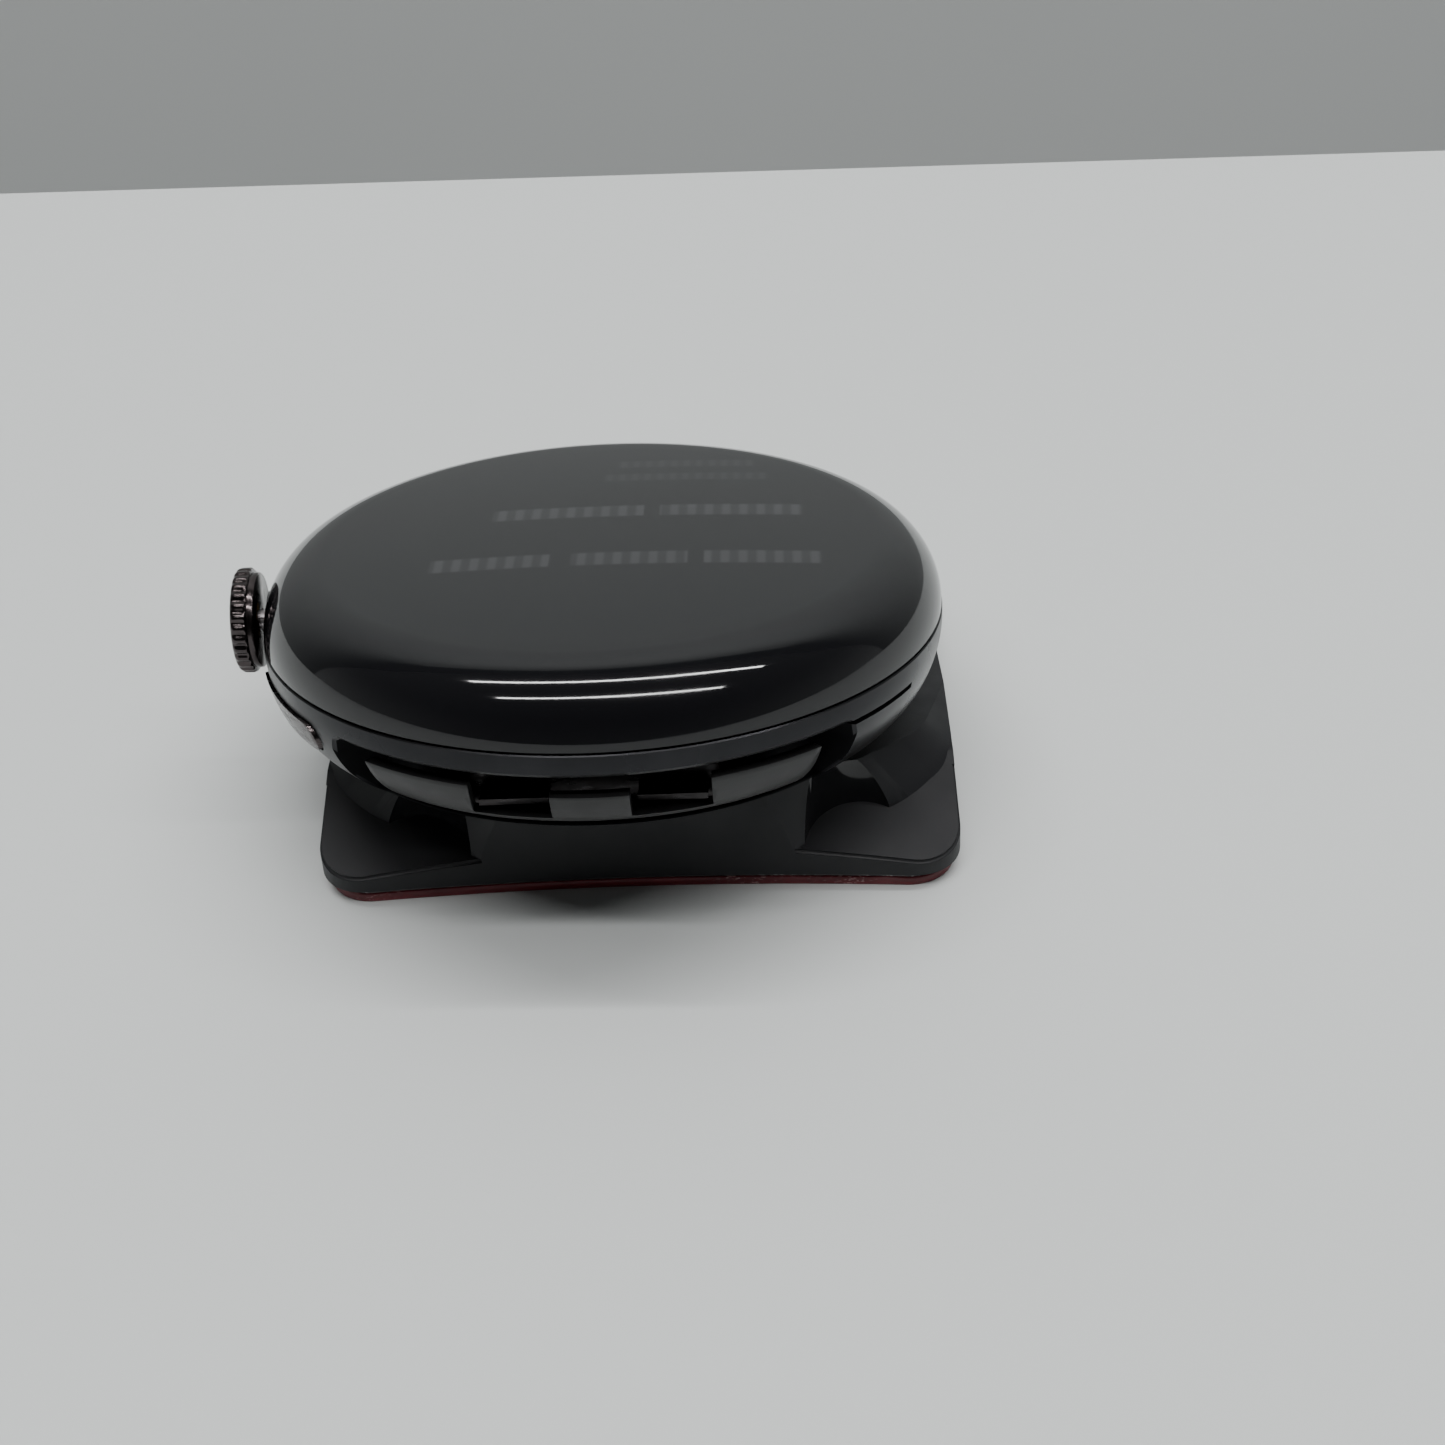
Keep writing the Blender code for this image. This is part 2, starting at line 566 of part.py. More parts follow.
def case_body(material, crown_bore):
    """The metal bowl with its gasket ledge, cavity, slots, crown boss and button pocket."""
    profile = [(CASE_R, CASE_TOP_Z)] + bowl_arc(9)
    recess_r = COVER_R + GAP
    profile += [(recess_r, CASE_BOTTOM_Z), (recess_r, BACK_RECESS_Z),
                (BACK_HOLE_R, BACK_RECESS_Z), (BACK_HOLE_R, LEDGE_Z),
                (LEDGE_R, LEDGE_Z), (LEDGE_R, CASE_TOP_Z)]
    case = turned("case_body", profile, material, ring=True, parent=HEAD)
    cavity = plate("case_cavity_cutter", clipped_circle(CAVITY_R, CAVITY_HALF_Y),
                   CAVITY_FLOOR_Z, -CASE_TOP_Z, parent=HEAD)
    boolean(case, cavity)
    band_slot(case, "front", 0.0)
    band_slot(case, "rear", pi)
    far = CASE_R + 2 * MM
    slit = plate("speaker_slit_cutter",
                 sector(CASE_R - SPEAKER_SLIT_DEPTH, far, SLOT_HALF_ANGLE - radians(3),
                        SPEAKER_SLIT_END, count=7),
                 SLOT_TOP_Z - SPEAKER_SLIT_H, SLOT_TOP_Z, parent=HEAD)
    boolean(case, slit)
    boss = rod("crown_boss", BOSS_R, BOSS_IN, -2 * FIT, parent=CROWN)
    boolean(case, boss, "UNION")
    boolean(case, crown_bore)
    counterbore = rod("crown_counterbore_cutter", ENCODER_R + GAP, STEM_IN, BUSH_IN - FIT,
                      parent=CROWN)
    boolean(case, counterbore)
    pocket = plate("button_pocket_cutter",
                   pill_outline(BUTTON_LEN + 2 * BUTTON_CLEAR, BUTTON_W + 2 * BUTTON_CLEAR),
                   BUTTON_CAP_IN - BUTTON_TRAVEL - BUTTON_CLEAR, 2 * MM, parent=BUTTON)
    boolean(case, pocket)
    bore = rod("button_bore_cutter", BUTTON_STEM_R + BUTTON_CLEAR, CAVITY_R - CASE_R - GAP, 0,
               parent=BUTTON)
    boolean(case, bore)


def back_pieces(cover_material, window_material, board_material, copper, rubber):
    cover_profile = [(COVER_R, COVER_TOP_Z), (COVER_R, COVER_BOTTOM_Z),
                     (WINDOW_R + FIT, COVER_BOTTOM_Z), (WINDOW_R + FIT, WINDOW_TOP_Z + FIT),
                     (WINDOW_R - 1 * MM, WINDOW_TOP_Z + FIT), (WINDOW_R - 1 * MM, COVER_TOP_Z)]
    turned("back_cover", cover_profile, cover_material, ring=True, sides=48, parent=HEAD)
    window = [(0, WINDOW_TOP_Z), (WINDOW_R, WINDOW_TOP_Z), (WINDOW_R, COVER_BOTTOM_Z)]
    for share in (0.75, 0.5, 0.25):
        drop = (COVER_BOTTOM_Z - WINDOW_APEX_Z) * (1 - share ** 2)
        window.append((WINDOW_R * share, COVER_BOTTOM_Z - drop))
    window.append((0, WINDOW_APEX_Z))
    turned("sensor_window", window, window_material, sides=40, parent=HEAD)
    coil_low = COVER_TOP_Z + GAP
    washer("charging_coil", COIL_R_IN, SENSOR_R, coil_low, coil_low + COIL_T, copper,
           sides=40, parent=HEAD)
    sensor_low = coil_low + COIL_T + GAP
    rod("sensor_board", SENSOR_R, sensor_low, sensor_low + SENSOR_T, board_material,
        sides=40, parent=HEAD)
    washer("back_gasket", BACK_GASKET_R_IN, BACK_GASKET_R_OUT, COVER_TOP_Z + GAP,
           COVER_TOP_Z + GAP + BACK_GASKET_T, rubber, sides=48, parent=HEAD)


# ---- head: crown and side button ------------------------------------------------------
def crown_pieces(dark_metal, steel, brass, rubber, magnet, plastic):
    """Everything on the crown's axis; local Z points out of the case."""
    knob_profile = [(0, KNOB_OUT), (KNOB_R - KNOB_BEVEL, KNOB_OUT), (KNOB_R, KNOB_OUT - KNOB_BEVEL),
                    (KNOB_R, KNOB_IN + KNOB_BEVEL), (KNOB_R - KNOB_BEVEL, KNOB_IN),
                    (NECK_R, KNOB_IN), (NECK_R, NECK_IN), (STEM_R + FIT, NECK_IN),
                    (STEM_R + FIT, STEM_OUT + FIT), (0, STEM_OUT + FIT)]
    turned("crown_knob", knob_profile, dark_metal, sides=28, parent=CROWN)
    rod("crown_stem", STEM_R, STEM_IN, STEM_OUT, steel, parent=CROWN)
    washer("crown_bush", BUSH_BORE_R, BUSH_R, BUSH_IN, BUSH_OUT, brass, parent=CROWN)
    seal_high = BUSH_IN - CROWN_TRAVEL / 2
    washer("crown_seal", STEM_R + FIT, BUSH_R, seal_high - SEAL_T, seal_high, rubber, parent=CROWN)
    clip_high = seal_high - SEAL_T - FIT
    washer("crown_circlip", STEM_R + FIT, CIRCLIP_R, clip_high - CIRCLIP_T, clip_high, steel,
           parent=CROWN)
    drum_high = clip_high - CIRCLIP_T - FIT
    washer("crown_encoder", STEM_R + FIT, ENCODER_R, drum_high - ENCODER_T, drum_high, magnet,
           parent=CROWN)
    pusher_high = STEM_IN - FIT
    rod("crown_pusher", PUSHER_R, pusher_high - PUSHER_T, pusher_high, plastic, parent=CROWN)
    deep, wide, high = CROWN_SWITCH_SIZE
    switch_high = pusher_high - PUSHER_T - CROWN_TRAVEL - FIT
    block("crown_switch", (high, wide, deep), (0, 0, switch_high - deep / 2), plastic, parent=CROWN)


def button_pieces(dark_metal, rubber, plastic):
    """The oblong cap with its stem, seal and switch; local Z points out of the case."""
    cap = plate("side_button", pill_outline(BUTTON_LEN, BUTTON_W), BUTTON_CAP_IN, 2 * MM,
                dark_metal, parent=BUTTON)
    skin = [(0, CASE_TOP_Z), (CASE_R + BUTTON_PROUD, CASE_TOP_Z)] + bowl_arc(9, BUTTON_PROUD)
    skin.append((0, CASE_BOTTOM_Z - BUTTON_PROUD))
    keep = turned("button_skin_keep", skin, None, parent=HEAD)
    boolean(cap, keep, "INTERSECT")
    stem = rod("button_stem", BUTTON_STEM_R, BUTTON_STEM_IN, BUTTON_CAP_IN + GAP, parent=BUTTON)
    boolean(cap, stem, "UNION")
    seal_high = CAVITY_R - CASE_R - FIT
    washer("button_seal", BUTTON_STEM_R + FIT, BUTTON_SEAL_R, seal_high - SEAL_T, seal_high,
           rubber, parent=BUTTON)
    deep, wide, high = BUTTON_SWITCH_SIZE
    switch_high = BUTTON_STEM_IN - BUTTON_TRAVEL - FIT
    block("button_switch", (wide, high, deep), (0, 0, switch_high - deep / 2), plastic,
          parent=BUTTON)


# ---- stand ------------------------------------------------------------------------------
def ring_at(outline, z):
    return [(x, y, z) for x, y in outline]


def mirrored_pair(name, make):
    """Call make(name, side) for the +X and the -X side."""
    return [make(name + ("_right" if side > 0 else "_left"), side) for side in (1, -1)]


def above_ear(name, side):
    """Everything above the plane of an ear's facet."""
    normal = Vector((side * sin(EAR_SLOPE) * cos(EAR_SLOPE_AZ), sin(EAR_SLOPE) * sin(EAR_SLOPE_AZ),
                     cos(EAR_SLOPE)))
    reach = 4 * BASE_FRONT_X
    return block(name + "_ear_cutter", (reach, reach, WEDGE_TOP_Z * 2), (0, 0, WEDGE_TOP_Z),
                 location=(side * EAR_TIP[0], EAR_TIP[1], EAR_TIP[2]),
                 rotation=normal.to_track_quat("Z", "Y").to_euler())


def flute_cutter(name, side):
    """A tapered round cutter that ends on the plane of the ear's facet."""
    flute = rod(name + "_flute_cutter", FLUTE_R, 0, WEDGE_TOP_Z + GAP,
                top_radius=FLUTE_TOP_R, sides=48, centre=(side * FLUTE_X, -FLUTE_Y))
    boolean(flute, above_ear(name + "_flute", side), "INTERSECT")
    return flute


def stand_shell(material):
    """Wedge and ears as one moulding inside the base's outline."""
    deep = 2 * BASE_HALF_Y
    shell = block("stand_shell", (3 * BASE_FRONT_X, deep, EAR_TOP_Z + GAP),
                  (0, EAR_REAR_Y - deep / 2, (EAR_TOP_Z - GAP) / 2), material)
    for cutter in mirrored_pair("front", above_ear):
        boolean(shell, cutter)
    low, top = wedge_outline(WEDGE_LOW), wedge_outline(WEDGE_TOP)
    wedge = loft("wedge", [ring_at(low, 0), ring_at(low, FLANK_LOW_Z), ring_at(top, WEDGE_TOP_Z)])
    boolean(shell, wedge, "UNION")
    boolean(shell, plate("base_limit", base_outline(), SHELL_BOTTOM_Z, 2 * WEDGE_TOP_Z),
            "INTERSECT")
    saddle_h = 20 * MM
    saddle = block("saddle_cutter", (6 * CASE_R, 6 * CASE_R, saddle_h),
                   (0, 0, SADDLE_Z + saddle_h / 2), parent=HEAD)
    above = block("above_base_limit", (6 * CASE_R, 6 * CASE_R, 2 * saddle_h),
                  (0, 0, BASE_TOP_Z + saddle_h))
    boolean(saddle, above, "INTERSECT")
    boolean(shell, saddle)
    for cutter in mirrored_pair("front", flute_cutter):
        boolean(shell, cutter)
    boolean(shell, rod("pad_recess_cutter", PAD_R + FIT, PAD_RECESS_Z, SADDLE_Z + GAP * 5,
                       sides=48, parent=HEAD))
    boolean(shell, rod("magnet_pocket_cutter", MAGNET_R + FIT, MAGNET_TOP_Z - 4 * MAGNET_T,
                       MAGNET_TOP_Z, sides=32, parent=HEAD))
    recess = ballast_outline(FIT)
    boolean(shell, plate("ballast_recess_cutter", recess, 0, BALLAST_HIGH_Z + FIT))
    for x, y in screw_places():
        boolean(shell, rod("shell_screw_hole", PLATE_SCREW_R + FIT, BALLAST_LOW_Z,
                           BALLAST_HIGH_Z + PLATE_SCREW_BITE + 2 * FIT, sides=12, centre=(x, y)))
    return shell


def ballast_outline(extra):
    return rounded_box_outline(-BALLAST_HALF_X - extra, BALLAST_HALF_X + extra,
                               -BALLAST_FRONT_Y - extra, BALLAST_REAR_Y + extra,
                               BALLAST_CORNER_R + extra)


def screw_places():
    return [(side * x, y) for x, y in PLATE_SCREWS for side in (1, -1)]


def stand_pieces(gel, magnet_material, steel, foam, liner):
    pad = rod("seat_pad", PAD_R, PAD_BOTTOM_Z, PAD_TOP_Z, gel, sides=48, parent=HEAD)
    bevel(pad, 0.15 * MM)
    rod("seat_magnet", MAGNET_R, MAGNET_TOP_Z - FIT - MAGNET_T, MAGNET_TOP_Z - FIT,
        magnet_material, sides=32, parent=HEAD)
    ballast = plate("ballast_plate", ballast_outline(0.0), BALLAST_LOW_Z, BALLAST_HIGH_Z, steel)
    head_top = BALLAST_LOW_Z + PLATE_SCREW_HEAD_T
    tip = BALLAST_HIGH_Z + FIT + PLATE_SCREW_BITE
    for number, (x, y) in enumerate(screw_places(), 1):
        boolean(ballast, rod("ballast_screw_hole", PLATE_SCREW_R + FIT, 0, tip, sides=12,
                             centre=(x, y)))
        boolean(ballast, rod("ballast_head_recess", PLATE_SCREW_HEAD_R + FIT, 0, head_top + FIT,
                             sides=16, centre=(x, y)))
        profile = [(0, tip), (PLATE_SCREW_R, tip), (PLATE_SCREW_R, head_top),
                   (PLATE_SCREW_HEAD_R, head_top), (PLATE_SCREW_HEAD_R, BALLAST_LOW_Z),
                   (0, BALLAST_LOW_Z)]
        turned("plate_screw_%d" % number, profile, steel, sides=12, location=(x, y, 0))
    tape = base_outline(TAPE_INSET)
    plate("adhesive_foam", tape, LINER_T + LAYER, LINER_T + LAYER + FOAM_T, foam)
    plate("release_liner", tape, 0, LINER_T, liner)


# ---- build ------------------------------------------------------------------------------
clear_scene()
PARTS = make_collection("smartwatch_on_stand")
CUTTERS = make_collection("cutters")
HEAD = make_empty("head_frame", location=(HEAD_X, HEAD_Y, HEAD_Z), rotation=(HEAD_TILT, 0, 0))
CROWN = make_empty("crown_axis", HEAD, (-CASE_R, 0, CROWN_Z), (0, -pi / 2, 0))
BUTTON_OUT = Vector((-sin(BUTTON_ANGLE), -cos(BUTTON_ANGLE), 0))
BUTTON = make_empty("button_axis", HEAD, BUTTON_OUT * CASE_R + Vector((0, 0, BUTTON_Z)),
                    BUTTON_OUT.to_track_quat("Z", "Y").to_euler())


def main():
    glass = make_material("black_glass", (0.01, 0.01, 0.012), 0.05)
    panel = make_material("display_black", (0.008, 0.008, 0.01), 0.25)
    case_metal = make_material("satin_black_steel", (0.09, 0.09, 0.1), 0.35, 0.9)
    gunmetal = make_material("polished_gunmetal", (0.07, 0.065, 0.07), 0.2, 1.0)
    steel = make_material("bright_steel", (0.55, 0.55, 0.57), 0.3, 1.0)
    brass = make_material("brass", (0.6, 0.42, 0.16), 0.35, 1.0)
    copper = make_material("copper_wire", (0.65, 0.3, 0.15), 0.4, 1.0)
    rubber = make_material("black_rubber", (0.02, 0.02, 0.02), 0.8)
    board = make_material("board_green", (0.02, 0.12, 0.06), 0.5)
    plastic = make_material("dark_plastic", (0.03, 0.03, 0.035), 0.5)
    cell = make_material("cell_wrap", (0.2, 0.2, 0.22), 0.4)
    magnet = make_material("nickel_magnet", (0.5, 0.5, 0.5), 0.25, 1.0)
    ceramic = make_material("back_ceramic", (0.03, 0.03, 0.035), 0.2)
    stand = make_material("stand_plastic", (0.035, 0.035, 0.038), 0.5)
    gel = make_material("grey_gel", (0.25, 0.25, 0.26), 0.6)
    foam = make_material("clear_grey_foam", (0.35, 0.33, 0.33), 0.5)
    liner = make_material("red_liner", (0.25, 0.01, 0.02), 0.4)

    relief = rod("crown_relief_cutter", BOSS_R + 2 * FIT, BOSS_IN - GAP, CASE_R / 4, parent=CROWN)
    bore = rod("crown_bore_cutter", BUSH_R + FIT, STEM_IN, CASE_R / 4, parent=CROWN)
    cover_glass(glass, relief)
    display_stack(panel, rubber, relief)
    inner_pieces(plastic, board, cell, steel, plastic)
    case_body(case_metal, bore)
    band_catch("front", 0.0, case_metal, steel)
    band_catch("rear", pi, case_metal, steel)
    back_pieces(ceramic, glass, board, copper, rubber)
    crown_pieces(gunmetal, steel, brass, rubber, magnet, plastic)
    button_pieces(gunmetal, rubber, plastic)
    stand_shell(stand)
    stand_pieces(gel, magnet, steel, foam, liner)


main()
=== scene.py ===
"""Smartwatch head on its wedge display stand: fine surfaces, finishes and stage.

Metres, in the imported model's frame.  Head pieces are drawn in the head's own frame:
origin in the middle of the seam between glass and case, Z out of the glass, -Y to the
12 o'clock side, -X to the crown.
"""

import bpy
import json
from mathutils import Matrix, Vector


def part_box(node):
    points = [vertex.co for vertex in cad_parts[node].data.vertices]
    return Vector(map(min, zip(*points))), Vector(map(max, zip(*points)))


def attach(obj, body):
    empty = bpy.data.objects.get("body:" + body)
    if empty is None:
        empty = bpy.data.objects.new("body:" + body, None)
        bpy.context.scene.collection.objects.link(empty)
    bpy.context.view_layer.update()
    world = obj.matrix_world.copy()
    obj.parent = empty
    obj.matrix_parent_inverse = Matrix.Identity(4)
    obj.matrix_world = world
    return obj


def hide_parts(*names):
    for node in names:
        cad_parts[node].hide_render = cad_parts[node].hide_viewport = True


bl_info = {
    "name": "Smartwatch Head on Wedge Stand",
    "version": (1, 0, 0),
    "blender": (4, 5, 0),
    "location": "View3D > Sidebar > Watch Stand",
    "description": "Fine surfaces, finishes and stage for a smartwatch head on a wedge stand",
    "category": "Add Mesh",
}

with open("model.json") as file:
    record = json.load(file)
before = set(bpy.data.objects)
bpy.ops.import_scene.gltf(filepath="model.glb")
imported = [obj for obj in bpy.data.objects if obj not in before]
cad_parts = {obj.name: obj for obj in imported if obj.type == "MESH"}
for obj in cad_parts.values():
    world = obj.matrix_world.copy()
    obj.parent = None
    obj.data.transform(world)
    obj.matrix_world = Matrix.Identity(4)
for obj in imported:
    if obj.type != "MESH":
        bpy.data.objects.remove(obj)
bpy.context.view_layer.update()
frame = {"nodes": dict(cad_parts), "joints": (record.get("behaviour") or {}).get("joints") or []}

import json
from math import asin, atan2, cos, pi, radians, sin, sqrt, tan

import bmesh
import bpy
from bpy.props import FloatProperty, FloatVectorProperty, IntProperty, PointerProperty
from mathutils import Matrix, Vector

MM = 0.001

# ---- the head's frame, read from the model's own joints --------------------------------
JOINTS = {joint["name"]: joint for joint in frame["joints"]}
UP = Vector(JOINTS["head_lift"]["axis"]).normalized()
CASE_RADIUS = 20.5 * MM
CROWN_DROP = 0.1 * MM
HEAD_ORIGIN = (Vector(JOINTS["crown_turn"]["pos_m"]) + Vector((CASE_RADIUS, 0, 0))
               + UP * CROWN_DROP)
ACROSS = Vector((1, 0, 0))
HEAD = Matrix.Translation(HEAD_ORIGIN) @ Matrix((ACROSS, UP.cross(ACROSS), UP)).transposed().to_4x4()
CROWN = (HEAD @ Matrix.Translation((-CASE_RADIUS, 0, -CROWN_DROP))
         @ Matrix.Rotation(-pi / 2, 4, "Y"))
STAND_LOW, STAND_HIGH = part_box("stand_shell")
FOAM_LOW, FOAM_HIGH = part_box("adhesive_foam")
LINER_LOW, LINER_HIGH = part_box("release_liner")
PLATE_LOW, PLATE_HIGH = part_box("ballast_plate")


# ---- settings ---------------------------------------------------------------------------
def length(name, default_mm, description):
    return FloatProperty(name=name, description=description, default=default_mm * MM,
                         unit="LENGTH", precision=5, step=0.01)


def turn(name, default_degrees, description):
    return FloatProperty(name=name, description=description, default=radians(default_degrees),
                         unit="ROTATION")


def tint(name, default, description):
    return FloatVectorProperty(name=name, description=description, default=default, size=3,
                               subtype="COLOR", min=0.0, max=1.0)


class HeadSettings(bpy.types.PropertyGroup):
    """Sizes of the head's glass, case and back"""
    glass_radius: length("Glass radius", 20.45, "Radius of the glass at the seam")
    glass_edge: length("Glass edge rounding", 4.2, "Rounding of the glass's edge")
    glass_rise: length("Dome rise", 0.6, "Height of the shallow dome inside the edge rounding")
    glass_wall: length("Glass wall", 1.4, "Thickness of the glass")
    glass_foot: length("Glass foot", 0.06, "Height of the glass's lower edge above the seam")
    case_top: length("Case top", 0.04, "Depth of the case's upper edge below the seam")
    bowl_corner: length("Bowl rounding", 6.37, "Radius of the case's curved side")
    bowl_top: length("Bowl start", 0.4, "Depth where the curved side starts")
    cavity_radius: length("Cavity radius", 16.0, "Radius of the hollow inside the case")
    cavity_flat: length("Cavity flat", 12.9, "Distance from the middle to the cavity's flats")
    back_recess: length("Back recess radius", 13.5, "Radius of the recess for the back cover")
    steps: IntProperty(name="Turning steps", description="Sides of the large turned pieces",
                       default=176, min=32, max=512)


class SlotSettings(bpy.types.PropertyGroup):
    """Sizes of the band slots and of the notched inserts in them"""
    top: length("Slot top", 1.45, "Depth of the slot's upper edge below the seam")
    floor: length("Slot floor", 5.84, "Depth of the slot's floor below the seam")
    back: length("Slot back radius", 16.5, "Radius of the slot's back wall")
    reach: turn("Slot half angle", 47.5, "How far the slot runs from 12 o'clock each way")
    end_round: length("End rounding", 1.3, "Rounding of the slot's ends")
    lip: length("Lip chamfer", 0.2, "Chamfer along the slot's edges")
    well_half: length("Well half width", 8.6, "Half the width of the deeper well")
    well_back: length("Well back", 13.9, "Distance from the middle to the well's back")
    insert_top: length("Insert top", 2.45, "Depth of the insert's upper edge")
    middle_top: length("Middle block top", 2.95, "Depth of the lower block between the notches")
    insert_foot: length("Insert foot", 5.4, "Depth of the insert's lower edge")
    insert_reach: turn("Insert half angle", 40.0, "How far the insert runs each way")
    insert_inset: length("Insert inset", 0.2, "How far the insert lies inside the case's side")
    insert_wall: length("Insert wall", 0.8, "Thickness of the insert")
    notch_x: length("Notch place", 4.45, "Distance from the middle to each notch")
    notch_width: length("Notch width", 4.5, "Width of each notch")
    notch_floor: length("Notch floor", 4.95, "Depth of the notches' floor")
    slit_end: turn("Slit end angle", 63.0, "Where the thin speaker slit ends")
    slit_height: length("Slit height", 0.35, "Height of the speaker slit")
    slit_depth: length("Slit depth", 0.6, "Depth of the speaker slit")


class CrownSettings(bpy.types.PropertyGroup):
    """Sizes of the crown and the side button"""
    knob_radius: length("Knob radius", 3.2, "Radius over the crown's ridges")
    knob_in: length("Knob inner face", 0.75, "Distance from the case to the knob's inner face")
    knob_out: length("Knob outer face", 1.77, "Distance from the case to the knob's outer face")
    knob_bevel: length("Knob bevel", 0.4, "Rounding of the knob's edges")
    neck_radius: length("Neck radius", 2.9, "Radius of the neck behind the knob")
    neck_in: length("Neck inner face", 0.34, "Distance from the case to the neck's inner face")
    ridges: IntProperty(name="Ridges", description="Number of ridges round the crown",
                        default=28, min=8, max=80)
    ridge_depth: length("Ridge depth", 0.16, "Depth of the grooves between the ridges")
    button_turn: turn("Button angle", 65.0, "From 12 o'clock to the middle of the side button")
    button_depth: length("Button height", 2.35, "Depth of the button's middle below the seam")
    button_length: length("Button length", 9.6, "Length of the side button")
    button_width: length("Button width", 1.8, "Width of the side button")
    button_proud: length("Button proud", 0.2, "How far the button stands out of the case")


class StandSettings(bpy.types.PropertyGroup):
    """Sizes of the stand's moulding"""
    rear_half: length("Rear half width", 18.6, "Half the base's width at its rear")
    corner: length("Corner rounding", 3.0, "Rounding of the base's corners")
    sag: length("Edge sag", 0.9, "How far the front and rear edges are pulled in")
    plate: length("Base plate", 1.3, "Thickness of the plate behind the wedge")
    flank_low: length("Flank start", 3.7, "Height where the flanks start to lean in")
    top: length("Wedge top", 9.5, "Height where the leaning flanks end")
    ear_top: length("Ear top", 4.4, "Height where the ears' facets end")
    ear_rear: length("Ear rear", 8.0, "Distance forward to the ears' rear end")
    saddle: length("Saddle depth", 7.67, "Depth of the wedge's top below the head's seam")
    flute_x: length("Flute place across", 13.6, "Distance from the middle to each flute's axis")
    flute_y: length("Flute place forward", 16.2, "Distance forward to the flutes' axes")
    flute_radius: length("Flute radius", 3.65, "Radius of the flutes at their floor")
    flute_top: length("Flute top radius", 3.7, "Radius of the flutes at the wedge's top")
    groove: length("Ear groove", 0.17, "Radius of the groove under each ear")
    pad_radius: length("Pad radius", 7.5, "Radius of the tacky pad")


class FinishSettings(bpy.types.PropertyGroup):
    """Colours of the finishes"""
    glass: tint("Glass", (0.004, 0.004, 0.005), "Black glass over the dark display")
    case: tint("Case", (0.026, 0.026, 0.028), "Black coated steel of the case")
    crown: tint("Crown", (0.060, 0.055, 0.057), "Dark polished steel of crown and button")
    stand: tint("Stand", (0.0085, 0.0085, 0.0100), "Black plastic of the stand")
    foam: tint("Foam", (0.050, 0.043, 0.045), "Greyish clear adhesive foam")
    liner: tint("Liner", (0.115, 0.008, 0.014), "Dark red release liner")
    table: tint("Table", (0.585, 0.605, 0.600), "Pale table top")
    wall: tint("Wall", (0.66, 0.685, 0.68), "Pale grey wall behind the table")


class StageSettings(bpy.types.PropertyGroup):
    """Camera and lights"""
    lens: FloatProperty(name="Lens", description="Focal length of the camera in millimetres",
                        default=66.6, min=10.0, max=300.0)
    yaw: turn("Camera yaw", 1.8, "How far the camera is turned round the head")
    tube_height: length("Tube height", 1000.0, "Height of the two light tubes over the table")
    tube_power: FloatProperty(name="Tube power", description="Power of each light tube in watts",
                              default=7.0, min=0.0)
    fill_power: FloatProperty(name="Fill power", description="Power of the soft overhead fill",
                              default=9.0, min=0.0)
    sky: FloatProperty(name="Ceiling brightness", description="Brightness of the room overhead",
                       default=0.115, min=0.0)
    front_share: FloatProperty(name="Front share", description="Share of that brightness on "
                               "the camera's side", default=0.25, min=0.0, max=1.0)
    horizon: FloatProperty(name="Room brightness", description="Brightness of the room's walls",
                           default=0.34, min=0.0)


# ---- outlines and profiles --------------------------------------------------------------
def arc(centre_x, centre_y, radius, start, end, count):
    angles = [start + (end - start) * i / (count - 1) for i in range(count)]
    return [(centre_x + radius * cos(a), centre_y + radius * sin(a)) for a in angles]


def rounded_polygon(corners, arc_steps=14, edge_steps=1):
    """Anticlockwise corners (x, y, rounding) as a smooth outline; edges may be divided."""
    arcs = []
    for i, (x, y, radius) in enumerate(corners):
        here = Vector((x, y))
        before = (Vector(corners[i - 1][:2]) - here).normalized()
        after = (Vector(corners[(i + 1) % len(corners)][:2]) - here).normalized()
        half = before.angle(after) / 2
        centre = here + (before + after).normalized() * (radius / sin(half))
        start = here + before * (radius / tan(half)) - centre
        first = atan2(start.y, start.x)
        arcs.append(arc(centre.x, centre.y, radius, first, first + pi - 2 * half, arc_steps))
    points = []
    for run, following in zip(arcs, arcs[1:] + arcs[:1]):
        points += run
        (x0, y0), (x1, y1) = run[-1], following[0]
        points += [(x0 + (x1 - x0) * k / edge_steps, y0 + (y1 - y0) * k / edge_steps)
                   for k in range(1, edge_steps)]
    return points


def base_outline(stand, half_x, half_y):
    """The base narrows to the rear, and its front and rear edges bow inwards."""
    rear = half_x + stand.rear_half - STAND_HIGH.x
    corners = [(half_x, -half_y, stand.corner), (rear, half_y, stand.corner),
               (-rear, half_y, stand.corner), (-half_x, -half_y, stand.corner)]
    return [(x, y * (1 - stand.sag / half_y * (1 - (x / half_x) ** 2)))
            for x, y in rounded_polygon(corners, edge_steps=28)]


def wedge_outline(half):
    """A plan outline of the wedge from the corners of its +X half."""
    right = [(x * MM, y * MM, radius * MM) for x, y, radius in half]
    return rounded_polygon(right + [(-x, y, radius) for x, y, radius in reversed(right)])


def bowl_radius(head, depth, inset=0.0):
    """Radius of the case's curved side at a depth below the seam."""
    drop = depth - head.bowl_top
    return CASE_RADIUS - head.bowl_corner + sqrt((head.bowl_corner - inset) ** 2 - drop ** 2)


def bowl_arc(head, count, proud=0.0):
    return arc(CASE_RADIUS - head.bowl_corner, -head.bowl_top, head.bowl_corner + proud,
               0, -pi / 2, count)


